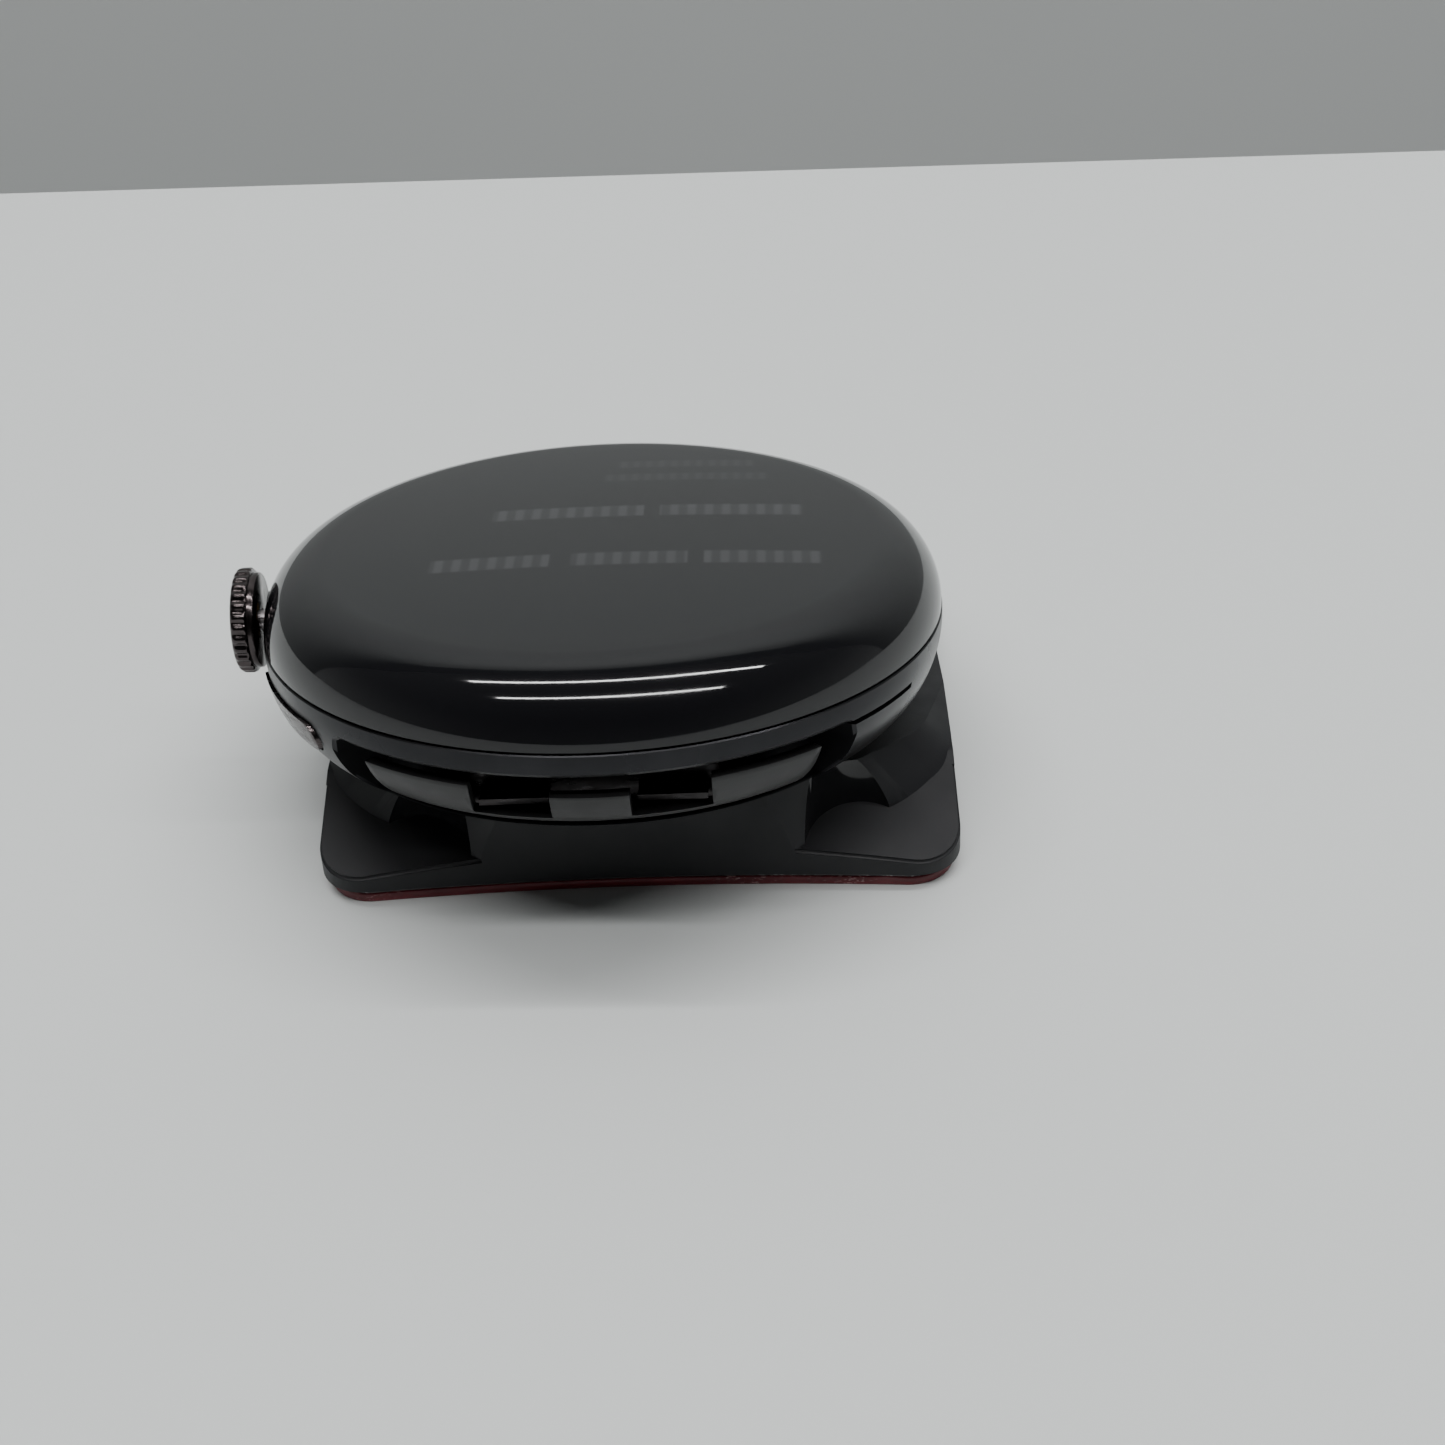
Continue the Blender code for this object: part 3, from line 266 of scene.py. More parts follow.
def pill(long_side, short_side, count=13):
    straight = (long_side - short_side) / 2
    return (arc(straight, 0, short_side / 2, -pi / 2, pi / 2, count)
            + arc(-straight, 0, short_side / 2, pi / 2, 3 * pi / 2, count))


# ---- bodies -----------------------------------------------------------------------------
def body_from(name, bm):
    mesh = bpy.data.meshes.new(name)
    bmesh.ops.recalc_face_normals(bm, faces=bm.faces)
    bm.to_mesh(mesh)
    bm.free()
    obj = bpy.data.objects.new(name, mesh)
    bpy.context.scene.collection.objects.link(obj)
    return obj


def turned(name, profile, steps, closed=False):
    """A profile of (radius, height) turned about Z."""
    bm = bmesh.new()
    verts = [bm.verts.new((r, 0.0, z)) for r, z in profile]
    edges = [bm.edges.new(pair) for pair in zip(verts, verts[1:])]
    if closed:
        edges.append(bm.edges.new((verts[-1], verts[0])))
    bmesh.ops.spin(bm, geom=verts + edges, cent=(0, 0, 0), axis=(0, 0, 1), angle=2 * pi,
                   steps=steps, use_merge=True)
    bmesh.ops.remove_doubles(bm, verts=bm.verts, dist=1e-7)
    return body_from(name, bm)


def skinned(name, sections):
    """A capped body through closed outlines of equally many points."""
    bm = bmesh.new()
    rows = [[bm.verts.new(point) for point in section] for section in sections]
    bm.faces.new(rows[0])
    bm.faces.new(rows[-1])
    for first, second in zip(rows, rows[1:]):
        for i in range(len(first)):
            j = (i + 1) % len(first)
            bm.faces.new((first[i], first[j], second[j], second[i]))
    return body_from(name, bm)


def prism(name, outline, low, high):
    return skinned(name, [[(x, y, z) for x, y in outline] for z in (low, high)])


def drum(name, radius, low, high, top_radius=None, sides=48, centre=(0, 0)):
    bm = bmesh.new()
    bmesh.ops.create_cone(bm, cap_ends=True, segments=sides, radius1=radius,
                          radius2=radius if top_radius is None else top_radius,
                          depth=high - low,
                          matrix=Matrix.Translation((*centre, (low + high) / 2)))
    return body_from(name, bm)


def box(name, size, centre):
    bm = bmesh.new()
    bmesh.ops.create_cube(bm, size=1.0,
                          matrix=Matrix.Translation(centre) @ Matrix.Diagonal((*size, 1.0)))
    return body_from(name, bm)


def bake(obj):
    """Make the modifiers part of the mesh."""
    bpy.context.view_layer.update()
    graph = bpy.context.evaluated_depsgraph_get()
    mesh = bpy.data.meshes.new_from_object(obj.evaluated_get(graph))
    obj.modifiers.clear()
    obj.data = mesh
    return obj


def carve(obj, *tools, operation="DIFFERENCE"):
    """Cut by or join with tools; a tool without a finish leaves the piece's first one."""
    for tool in tools:
        if obj.data.materials and not tool.data.materials:
            tool.data.materials.append(obj.data.materials[0])
        modifier = obj.modifiers.new("carve", "BOOLEAN")
        modifier.operation = operation
        modifier.solver = "EXACT"
        modifier.material_mode = "TRANSFER"
        modifier.object = tool
    bake(obj)
    for tool in tools:
        bpy.data.objects.remove(tool, do_unlink=True)
    return obj


def soften(obj, width, segments=3, angle=30):
    modifier = obj.modifiers.new("soft edge", "BEVEL")
    modifier.width = width
    modifier.segments = segments
    modifier.limit_method = "ANGLE"
    modifier.angle_limit = radians(angle)
    modifier.harden_normals = True
    return bake(obj)


def seat(obj, body, slot, *nodes, at=None, finish=None, sharp=40):
    """Shade a piece, put it in its place and let it ride on its body."""
    obj.data.shade_smooth()
    obj.data.set_sharp_from_angle(angle=radians(sharp))
    if finish is not None:
        obj.data.materials.clear()
        obj.data.materials.append(finish)
    if at is not None:
        obj.matrix_world = at
    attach(obj, body)
    if nodes:
        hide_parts(*nodes)
    return obj


def even_shading(obj):
    """Let the large faces rule the shading, so that cut flat faces stay flat."""
    modifier = obj.modifiers.new("even shading", "WEIGHTED_NORMAL")
    modifier.mode = "FACE_AREA"
    modifier.weight = 100
    modifier.keep_sharp = True


def dress(node, finish):
    """Give a CAD node that stays as it is a finish."""
    materials = frame["nodes"][node].data.materials
    materials.clear()
    materials.append(finish)


# ---- finishes ---------------------------------------------------------------------------
def plain_finish(name, colour, roughness, metallic=0.0, sheen=0.5):
    finish = bpy.data.materials.new(name)
    finish.use_nodes = True
    shader = finish.node_tree.nodes["Principled BSDF"]
    shader.inputs["Base Color"].default_value = (*colour, 1.0)
    shader.inputs["Roughness"].default_value = roughness
    shader.inputs["Metallic"].default_value = metallic
    shader.inputs["Specular IOR Level"].default_value = sheen
    return finish


def add(finish, kind, sockets=(), **settings):
    """A node; sockets maps an input to a value or to another node's output."""
    node = finish.node_tree.nodes.new("ShaderNode" + kind)
    for key, value in settings.items():
        setattr(node, key, value)
    for key, value in dict(sockets).items():
        if isinstance(value, bpy.types.NodeSocket):
            finish.node_tree.links.new(value, node.inputs[key])
        else:
            node.inputs[key].default_value = value
    return node


def feed(finish, socket, output):
    shader = finish.node_tree.nodes["Principled BSDF"]
    finish.node_tree.links.new(output, shader.inputs[socket])


def place_of(finish, scale=(1.0, 1.0, 1.0)):
    """Coordinates on the piece itself, stretched by scale."""
    coords = add(finish, "TexCoord")
    return add(finish, "Mapping", {"Vector": coords.outputs["Object"], "Scale": scale}).outputs[0]


def grain(finish, scale, detail=3.0, stretch=(1.0, 1.0, 1.0), roughness=0.5):
    """Noise over the piece; scale is in features per metre."""
    return add(finish, "TexNoise", {"Vector": place_of(finish, stretch), "Scale": scale,
                                    "Detail": detail, "Roughness": roughness}).outputs["Fac"]


def ramp(finish, value, low, high, to_low=0.0, to_high=1.0):
    return add(finish, "MapRange", {"Value": value, "From Min": low, "From Max": high,
                                    "To Min": to_low, "To Max": to_high}).outputs["Result"]


def maths(finish, operation, first, second=0.0):
    return add(finish, "Math", {0: first, 1: second}, operation=operation).outputs[0]


def blend(finish, factor, first, second):
    """Colour between two colours, each a tuple or another node's output."""
    node = add(finish, "Mix", data_type="RGBA")
    for index, value in ((0, factor), (6, first), (7, second)):
        if isinstance(value, bpy.types.NodeSocket):
            finish.node_tree.links.new(value, node.inputs[index])
        elif index == 0:
            node.inputs[index].default_value = value
        else:
            node.inputs[index].default_value = (*value, 1.0)
    return node.outputs[2]


def relief(finish, height, distance, strength=1.0):
    bump = add(finish, "Bump", {"Height": height, "Distance": distance, "Strength": strength})
    feed(finish, "Normal", bump.outputs["Normal"])


def dust(finish, scale, share):
    """Small separate specks: 1 on a speck and 0 elsewhere."""
    cells = add(finish, "TexVoronoi", {"Vector": place_of(finish), "Scale": scale,
                                       "Randomness": 1.0})
    near = ramp(finish, cells.outputs["Distance"], 0.10, 0.05)
    picked = add(finish, "SeparateColor", {"Color": cells.outputs["Color"]}).outputs["Red"]
    chosen = maths(finish, "GREATER_THAN", picked, 1.0 - share)
    return maths(finish, "MULTIPLY", near, chosen)


def bar_row(finish, split, middle, half_height, spans, tick):
    """A row of soft placeholder bars on the display, in the head's frame."""
    from_middle = maths(finish, "ABSOLUTE", maths(finish, "SUBTRACT", split.outputs["Y"], middle))
    row = ramp(finish, from_middle, half_height * 1.1, half_height * 0.8)
    bars = None
    for start, end in spans:
        centre = (start + end) / 2
        half = (end - start) / 2
        away = maths(finish, "ABSOLUTE", maths(finish, "SUBTRACT", split.outputs["X"], centre))
        bar = ramp(finish, away, half, half - 0.15 * MM)
        bars = bar if bars is None else maths(finish, "MAXIMUM", bars, bar)
    wave = maths(finish, "SINE", maths(finish, "MULTIPLY", split.outputs["X"], 2 * pi / tick))
    ticks = ramp(finish, wave, -0.5, 0.6, 0.35, 1.0)
    return maths(finish, "MULTIPLY", maths(finish, "MULTIPLY", row, bars), ticks)


def glass_finish(colour):
    finish = plain_finish("black display glass", colour, 0.04)
    smear = grain(finish, 90, 4.0, (1.0, 2.2, 1.0))
    feed(finish, "Roughness", ramp(finish, smear, 0.35, 0.75, 0.035, 0.10))
    split = add(finish, "SeparateXYZ", {"Vector": place_of(finish)})
    near = bar_row(finish, split, -4.6 * MM, 0.95 * MM,
                   ((-9.8 * MM, -2.6 * MM), (-1.5 * MM, 5.5 * MM), (6.3 * MM, 13.3 * MM)),
                   1.05 * MM)
    middle = bar_row(finish, split, 3.0 * MM, 0.95 * MM,
                     ((-6.7 * MM, 2.7 * MM), (3.5 * MM, 12.3 * MM)), 1.05 * MM)
    far = bar_row(finish, split, 9.3 * MM, 0.7 * MM, ((-0.2 * MM, 10.2 * MM),), 0.8 * MM)
    farther = bar_row(finish, split, 12.0 * MM, 0.7 * MM, ((0.6 * MM, 9.4 * MM),), 0.8 * MM)
    faint = maths(finish, "MULTIPLY", maths(finish, "MAXIMUM", far, farther), 0.4)
    lit = maths(finish, "MAXIMUM", maths(finish, "MAXIMUM", near, middle), faint)
    glow = blend(finish, lit, (0.0, 0.0, 0.0), (0.032, 0.033, 0.035))
    feed(finish, "Emission Color", glow)
    finish.node_tree.nodes["Principled BSDF"].inputs["Emission Strength"].default_value = 1.0
    specks = dust(finish, 420, 0.035)
    feed(finish, "Base Color", blend(finish, specks, colour, (0.10, 0.10, 0.11)))
    return finish


def case_finish(colour):
    finish = plain_finish("black coated steel", colour, 0.3, 1.0)
    cloud = grain(finish, 160, 3.0)
    feed(finish, "Roughness", ramp(finish, cloud, 0.3, 0.7, 0.24, 0.36))
    lighter = tuple(min(1.0, c * 1.35) for c in colour)
    feed(finish, "Base Color", blend(finish, grain(finish, 420, 2.0), colour, lighter))
    relief(finish, grain(finish, 9000, 2.0), 0.002 * MM, 0.5)
    return finish


def polished_finish(name, colour, roughness=0.16):
    finish = plain_finish(name, colour, roughness, 1.0)
    scratch = grain(finish, 900, 2.0, (1.0, 1.0, 6.0))
    feed(finish, "Roughness", ramp(finish, scratch, 0.3, 0.7, roughness * 0.7, roughness * 1.6))
    warm = (colour[0] * 1.3, colour[1] * 1.15, colour[2] * 1.1)
    feed(finish, "Base Color", blend(finish, grain(finish, 500, 2.0), colour, warm))
    return finish


def moulded_finish(name, colour, roughness, dusty=0.02, sheen=0.5):
    finish = plain_finish(name, colour, roughness, sheen=sheen)
    cloud = grain(finish, 240, 3.0)
    feed(finish, "Roughness", ramp(finish, cloud, 0.3, 0.7, roughness * 0.85, roughness * 1.2))
    paler = tuple(c * 1.3 for c in colour)
    tone = blend(finish, grain(finish, 130, 4.0), colour, paler)
    if dusty:
        tone = blend(finish, maths(finish, "MULTIPLY", dust(finish, 700, dusty), 0.5), tone,
                     (0.25, 0.25, 0.25))
    feed(finish, "Base Color", tone)
    relief(finish, grain(finish, 5200, 3.0, roughness=0.6), 0.010 * MM, 0.55)
    return finish


def wet_black_finish():
    finish = plain_finish("glossy moulded black", (0.008, 0.008, 0.009), 0.07)
    feed(finish, "Roughness", ramp(finish, grain(finish, 300, 3.0), 0.3, 0.75, 0.05, 0.13))
    relief(finish, grain(finish, 260, 2.0), 0.02 * MM, 0.35)
    return finish


def foam_finish(colour):
    finish = plain_finish("clear grey foam", colour, 0.45)
    bubbles = grain(finish, 1600, 4.0)
    pale = tuple(c * 1.7 for c in colour)
    tone = blend(finish, ramp(finish, bubbles, 0.35, 0.7), colour, pale)
    patch = ramp(finish, grain(finish, 150, 2.0), 0.56, 0.66)
    fleck = ramp(finish, grain(finish, 2600, 5.0, roughness=0.7), 0.52, 0.62)
    feed(finish, "Base Color",
         blend(finish, maths(finish, "MULTIPLY", patch, fleck), tone, (0.6, 0.58, 0.58)))
    relief(finish, bubbles, 0.03 * MM, 0.7)
    return finish


def liner_finish(colour):
    finish = plain_finish("red release liner", colour, 0.32)
    tone = blend(finish, ramp(finish, grain(finish, 260, 4.0), 0.3, 0.75), colour,
                 (colour[0] * 2.0, colour[1] * 3.0, colour[2] * 2.6))
    patch = ramp(finish, grain(finish, 170, 2.0), 0.6, 0.68)
    scuff = ramp(finish, grain(finish, 3000, 5.0, (1.0, 1.0, 3.0)), 0.56, 0.66)
    feed(finish, "Base Color",
         blend(finish, maths(finish, "MULTIPLY", patch, scuff), tone, (0.55, 0.30, 0.30)))
    relief(finish, grain(finish, 900, 3.0), 0.02 * MM, 0.4)
    return finish


def table_finish(colour):
    finish = plain_finish("matt table top", colour, 0.62)
    cloud = ramp(finish, grain(finish, 3, 3.0), 0.3, 0.7)
    shade = tuple(c * 0.965 for c in colour)
    tone = blend(finish, cloud, colour, shade)
    feed(finish, "Base Color",
         blend(finish, maths(finish, "MULTIPLY", dust(finish, 45, 0.03), 0.35), tone,
               (0.2, 0.2, 0.2)))
    relief(finish, grain(finish, 1500, 3.0), 0.02 * MM, 0.4)
    return finish


# ---- head -------------------------------------------------------------------------------
def glass_line(head):
    """Outer line from the middle of the dome down to the glass's lower edge."""
    slope = asin(min(0.5, 2 * head.glass_rise / (head.glass_radius - head.glass_edge)))
    centre_r = head.glass_radius - head.glass_edge
    centre_z = 0.25 * MM
    join_r = centre_r + head.glass_edge * sin(slope)
    join_z = centre_z + head.glass_edge * cos(slope)
    line = [(0.0, join_z + head.glass_rise)]
    for i in range(1, 15):
        share = i / 15
        line.append((join_r * share, join_z + head.glass_rise * (1 - share ** 2)))
    line += arc(centre_r, centre_z, head.glass_edge, pi / 2 - slope, 0, 26)
    foot = head.glass_foot
    line += [(head.glass_radius, foot + 0.06 * MM), (head.glass_radius - 0.06 * MM, foot)]
    return line


class WATCHSTAND_OT_glass(bpy.types.Operator):
    """Domed glass with its relief for the crown's bush, over the dark display"""
    bl_idname = "watchstand.glass"
    bl_label = "Glass"

    def execute(self, context):
        head = context.scene.head_settings
        inner = head.glass_radius - head.glass_wall
        turn_in = head.glass_edge - head.glass_wall
        top_in = 0.25 * MM + head.glass_edge - head.glass_wall + 0.25 * MM
        inside = [(inner, head.glass_foot)]
        inside += arc(inner - turn_in, top_in - turn_in, turn_in, 0, pi / 2, 8)
        inside.append((0.0, top_in))
        glass = turned("dome_glass", glass_line(head) + inside, head.steps)
        relief_tool = drum("relief", 1.95 * MM, -3.5 * MM, 3 * MM, sides=64)
        relief_tool.matrix_world = HEAD.inverted() @ CROWN
        carve(glass, relief_tool)
        finish = glass_finish(context.scene.finish_settings.glass)
        seat(glass, "watch_head", "black_glass", "cover_glass", at=HEAD, finish=finish)
        return {"FINISHED"}


def slot_tool(name, head, slot, turned_by, inside, metal):
    """What is cut out for one band slot: rounded ends, a rounded back and chamfered lips; its walls
    and back carry painted shade, its lip chamfers the case's metal.
    """
    sections = []
    count = 72
    for i in range(count + 1):
        angle = slot.reach * (-1 + 2 * i / count)
        from_end = (slot.reach - abs(angle)) * CASE_RADIUS
        rest = max(0.0, slot.end_round - from_end)
        squeeze = slot.end_round - sqrt(slot.end_round ** 2 - rest ** 2) if rest else 0.0
        top = slot.top + squeeze
        floor = slot.floor - squeeze
        inner = 0.5 * MM
        far = CASE_RADIUS + 2 * MM
        lip = slot.lip
        edge_top = bowl_radius(head, top)
        edge_floor = bowl_radius(head, floor)
        line = arc(slot.back + inner, -top - inner, inner, pi, pi / 2, 5)
        line += [(edge_top - lip, -top), (edge_top + lip, -top + 2 * lip), (far, -top + 2 * lip)]
        line += [(far, -floor - 3 * lip), (edge_floor + lip, -floor - 3 * lip),
                 (edge_floor - lip, -floor)]
        line += arc(slot.back + inner, -floor + inner, inner, -pi / 2, -pi, 5)
        direction = angle + turned_by
        sections.append([(r * sin(direction), -r * cos(direction), z) for r, z in line])
    tool = skinned(name, sections)
    tool.data.materials.append(inside)
    tool.data.materials.append(metal)
    # The lip chamfers keep the metal; every other face of the cut takes the painted shade.
    for row in range(count):
        for edge in (5, 9):
            tool.data.polygons[2 + row * len(line) + edge].material_index = 1
    return tool


def button_frame(crown):
    out = Vector((-sin(crown.button_turn), -cos(crown.button_turn), 0))
    spin = out.to_track_quat("Z", "Y").to_matrix().to_4x4()
    return Matrix.Translation(out * CASE_RADIUS - Vector((0, 0, crown.button_depth))) @ spin


class WATCHSTAND_OT_case(bpy.types.Operator):
    """Metal bowl with its band slots, speaker slit, crown boss and button pocket"""
    bl_idname = "watchstand.case"
    bl_label = "Case"

    def execute(self, context):
        scene = context.scene
        head, slot, crown = scene.head_settings, scene.slot_settings, scene.crown_settings
        soft = 0.07 * MM
        line = [(CASE_RADIUS - soft, -head.case_top), (CASE_RADIUS, -head.case_top - soft)]
        line += bowl_arc(head, 30)
        line += [(head.back_recess + soft, -head.bowl_top - head.bowl_corner),
                 (head.back_recess, -head.bowl_top - head.bowl_corner + soft),
                 (head.back_recess, -5.35 * MM), (11.6 * MM, -5.35 * MM), (11.6 * MM, -0.9 * MM),
                 (19.5 * MM, -0.9 * MM), (19.5 * MM, -head.case_top)]
        case = turned("case_bowl", line, head.steps, closed=True)
        metal = case_finish(scene.finish_settings.case)
        case.data.materials.append(metal)
        # Near-black matt finish for the walls of the slots, wells, speaker slit and cavity: painted
        # shade in these recesses.
        inside = plain_finish("slot walls painted shade", (0.004, 0.004, 0.005), 0.7, sheen=0.12)
        reach = asin(head.cavity_flat / head.cavity_radius)
        cavity = prism("cavity", arc(0, 0, head.cavity_radius, -reach, reach, 32)
                       + arc(0, 0, head.cavity_radius, pi - reach, pi + reach, 32),
                       -4.9 * MM, 1 * MM)
        tools = [cavity]
        for name, turned_by, side in (("front", 0.0, 1), ("rear", pi, -1)):
            tools.append(slot_tool(name, head, slot, turned_by, inside, metal))
            depth = CASE_RADIUS - slot.well_back
            tools.append(box(name + "_well",
                             (2 * slot.well_half, depth, slot.floor - slot.top - 0.2 * MM),
                             (0, -side * (slot.well_back + CASE_RADIUS - 2.5 * MM) / 2,
                              -(slot.floor + slot.top) / 2)))
        span = [slot.reach - radians(3) + (slot.slit_end - slot.reach + radians(3)) * i / 8
                for i in range(9)]
        slit = [(r * sin(a), -r * cos(a)) for r, angles in
                ((CASE_RADIUS + 1 * MM, span), (CASE_RADIUS - slot.slit_depth, span[::-1]))
                for a in angles]
        tools.append(prism("slit", slit, -slot.top - slot.slit_height, -slot.top))
        # The wells, the slit and the cavity take the painted shade too.
        for tool in tools:
            if not tool.data.materials:
                tool.data.materials.append(inside)
        frame_of_button = button_frame(crown)
        pocket = prism("pocket", pill(crown.button_length + 0.2 * MM,
                                      crown.button_width + 0.2 * MM), -2.26 * MM, 2 * MM)
        pocket.matrix_world = frame_of_button
        bore = drum("button_bore", 0.75 * MM, -4.8 * MM, 0)
        bore.matrix_world = frame_of_button
        tools += [pocket, bore]
        carve(case, *tools)
        boss = drum("boss", 1.75 * MM, -3.2 * MM, -0.2 * MM, sides=64)
        bush_bore = drum("bush_bore", 1.25 * MM, -6.2 * MM, 5 * MM)
        counterbore = drum("counterbore", 1.8 * MM, -6.2 * MM, -3.7 * MM)
        for tool in (boss, bush_bore, counterbore):
            tool.matrix_world = HEAD.inverted() @ CROWN
        carve(case, boss, operation="UNION")
        carve(case, bush_bore, counterbore)
        seat(case, "watch_head", "satin_black_steel", "case_body", at=HEAD, sharp=30)
        return {"FINISHED"}


class WATCHSTAND_OT_slot_inserts(bpy.types.Operator):
    """Notched inserts in the band slots and the finish of the catch springs"""
    bl_idname = "watchstand.slot_inserts"
    bl_label = "Slot inserts"

    def execute(self, context):
        scene = context.scene
        head, slot = scene.head_settings, scene.slot_settings
        finish = moulded_finish("satin insert", (0.012, 0.012, 0.0125), 0.42, 0.0,
                                sheen=0.35)
        spring_steel = polished_finish("dark spring steel", (0.045, 0.045, 0.047), 0.3)
        for name, turned_by in (("front", 0.0), ("rear", pi)):
            sections = []
            for i in range(61):
                angle = slot.insert_reach * (-1 + i / 30) + turned_by
                outer = []
                for k in range(9):
                    depth = slot.insert_top + (slot.insert_foot - slot.insert_top) * k / 8
                    outer.append((bowl_radius(head, depth, slot.insert_inset), -depth))
                inner = [(r - slot.insert_wall, z) for r, z in (outer[-1], outer[0])]
                sections.append([(r * sin(angle), -r * cos(angle), z) for r, z in outer + inner])
            insert = skinned(name + "_insert", sections)
            side = 1 if turned_by == 0 else -1
            tools = []
            for x in (-slot.notch_x, slot.notch_x):
                height = slot.notch_floor - slot.top
                tools.append(box("notch", (slot.notch_width, CASE_RADIUS, height),
                                 (x, -side * CASE_RADIUS, -slot.notch_floor + height / 2)))
            tools.append(box("step", (2 * slot.notch_x, CASE_RADIUS, 1 * MM),
                             (0, -side * CASE_RADIUS, -slot.middle_top + 0.5 * MM)))
            carve(insert, *tools)
            soften(insert, 0.11 * MM, 2, 40)
            seat(insert, "watch_head", "satin_black_steel", name + "_slot_insert", at=HEAD,
                 finish=finish)
            dress(name + "_catch_spring", spring_steel)
        return {"FINISHED"}


class WATCHSTAND_OT_crown(bpy.types.Operator):
    """Ridged crown knob with its neck"""
    bl_idname = "watchstand.crown"
    bl_label = "Crown"

    def execute(self, context):
        crown = context.scene.crown_settings
        bevel = crown.knob_bevel
        line = [(0.7 * MM, 1.2 * MM, 0.0), (0.7 * MM, crown.neck_in, 0.0),
                (crown.neck_radius - 0.08 * MM, crown.neck_in, 0.0),
                (crown.neck_radius, crown.neck_in + 0.08 * MM, 0.0),
                (crown.neck_radius, crown.knob_in, 0.0)]
        lip = 0.2 * MM
        for r, z in arc(crown.knob_radius - lip, crown.knob_in + lip, lip, -pi / 2.6, 0, 6):
            line.append((r, z, min(1.0, (z - crown.knob_in) / lip)))
        for r, z in arc(crown.knob_radius - bevel, crown.knob_out - bevel, bevel, 0, pi / 2, 7):
            line.append((r, z, min(1.0, (crown.knob_out - z) / bevel + 0.1)))
        line += [(crown.knob_radius - bevel - 0.12 * MM, crown.knob_out - 0.03 * MM, 0.0),
                 (crown.knob_radius - bevel - 0.35 * MM, crown.knob_out - 0.05 * MM, 0.0),
                 (crown.knob_radius - bevel - 0.5 * MM, crown.knob_out, 0.0),
                 (0.8 * MM, crown.knob_out + 0.02 * MM, 0.0)]
        per_ridge = 8
        count = crown.ridges * per_ridge
        sections = []
        for r, z, share in line:
            ring = []
            for i in range(count):
                phase = 2 * pi * (i % per_ridge) / per_ridge
                groove = (0.5 - 0.5 * cos(phase)) ** 1.6
                radius = r - crown.ridge_depth * groove * share
                angle = 2 * pi * i / count
                ring.append((radius * cos(angle), radius * sin(angle), z))
            sections.append(ring)
        knob = skinned("ridged_crown", sections)
        finish = polished_finish("polished gunmetal", context.scene.finish_settings.crown)
        seat(knob, "crown", "polished_gunmetal", "crown_knob", at=CROWN, finish=finish, sharp=50)
        return {"FINISHED"}


class WATCHSTAND_OT_side_button(bpy.types.Operator):
    """Oblong side button that follows the case's curve"""
    bl_idname = "watchstand.side_button"
    bl_label = "Side button"

    def execute(self, context):
        scene = context.scene
        head, crown = scene.head_settings, scene.crown_settings
        cap = prism("oblong_button", pill(crown.button_length, crown.button_width), -1.8 * MM,
                    2 * MM)
        cap.matrix_world = button_frame(crown)
        cap.data.transform(cap.matrix_world)
        cap.matrix_world = Matrix.Identity(4)
        skin = [(0.0, 0.0), (CASE_RADIUS + crown.button_proud, 0.0)]
        skin += bowl_arc(head, 30, crown.button_proud)
        skin.append((0.0, -head.bowl_top - head.bowl_corner - crown.button_proud))
        keep = turned("keep", skin, head.steps)
        carve(cap, keep, operation="INTERSECT")
        stem = drum("stem", 0.6 * MM, -5.0 * MM, -1.5 * MM, sides=32)
        stem.matrix_world = button_frame(crown)
        carve(cap, stem, operation="UNION")
        soften(cap, 0.12 * MM, 3, 40)
        finish = polished_finish("polished gunmetal button", scene.finish_settings.crown, 0.22)
        seat(cap, "side_button", "polished_gunmetal", "side_button", at=HEAD, finish=finish)
        return {"FINISHED"}


class WATCHSTAND_OT_back(bpy.types.Operator):
    """Back cover and the domed sensor window"""
    bl_idname = "watchstand.back"
    bl_label = "Back"

    def execute(self, context):
        scene = context.scene
        steps = scene.head_settings.steps
        soft = 0.1 * MM
        line = [(13.2 * MM, -6.25 * MM), (13.2 * MM, -6.95 * MM + soft),
                (13.2 * MM - soft, -6.95 * MM), (8.7 * MM + soft, -6.95 * MM),
                (8.7 * MM, -6.95 * MM + soft), (8.7 * MM, -6.45 * MM), (7.6 * MM, -6.45 * MM),
                (7.6 * MM, -6.25 * MM)]
        cover = turned("back_plate", line, steps, closed=True)
        finish = moulded_finish("black back cover", (0.02, 0.02, 0.023), 0.18, 0.0)
        seat(cover, "watch_head", "back_ceramic", "back_cover", at=HEAD, finish=finish)
        line = [(0.0, -6.55 * MM), (8.6 * MM, -6.55 * MM), (8.6 * MM, -6.9 * MM),
                (8.55 * MM, -6.95 * MM)]
        for i in range(1, 16):
            share = 1 - i / 16
            line.append((8.5 * MM * share, -6.95 * MM - 0.2 * MM * (1 - share ** 2)))
        line.append((0.0, -7.15 * MM))
        window = turned("sensor_lens", line, 96)
        lens = plain_finish("sensor glass", (0.006, 0.006, 0.008), 0.05)
        rings = add(lens, "TexWave", {"Vector": place_of(lens), "Scale": 90.0},
                    wave_type="RINGS", rings_direction="Z", wave_profile="SIN")
        spots = add(lens, "TexVoronoi", {"Vector": place_of(lens), "Scale": 230.0,
                                         "Randomness": 0.0})
        pattern = maths(lens, "MULTIPLY", ramp(lens, rings.outputs["Fac"], 0.45, 0.55),
                        ramp(lens, spots.outputs["Distance"], 0.34, 0.28))
        feed(lens, "Base Color", blend(lens, pattern, (0.006, 0.006, 0.008), (0.05, 0.05, 0.055)))
        seat(window, "watch_head", "black_glass", "sensor_window", at=HEAD, finish=lens)
        return {"FINISHED"}


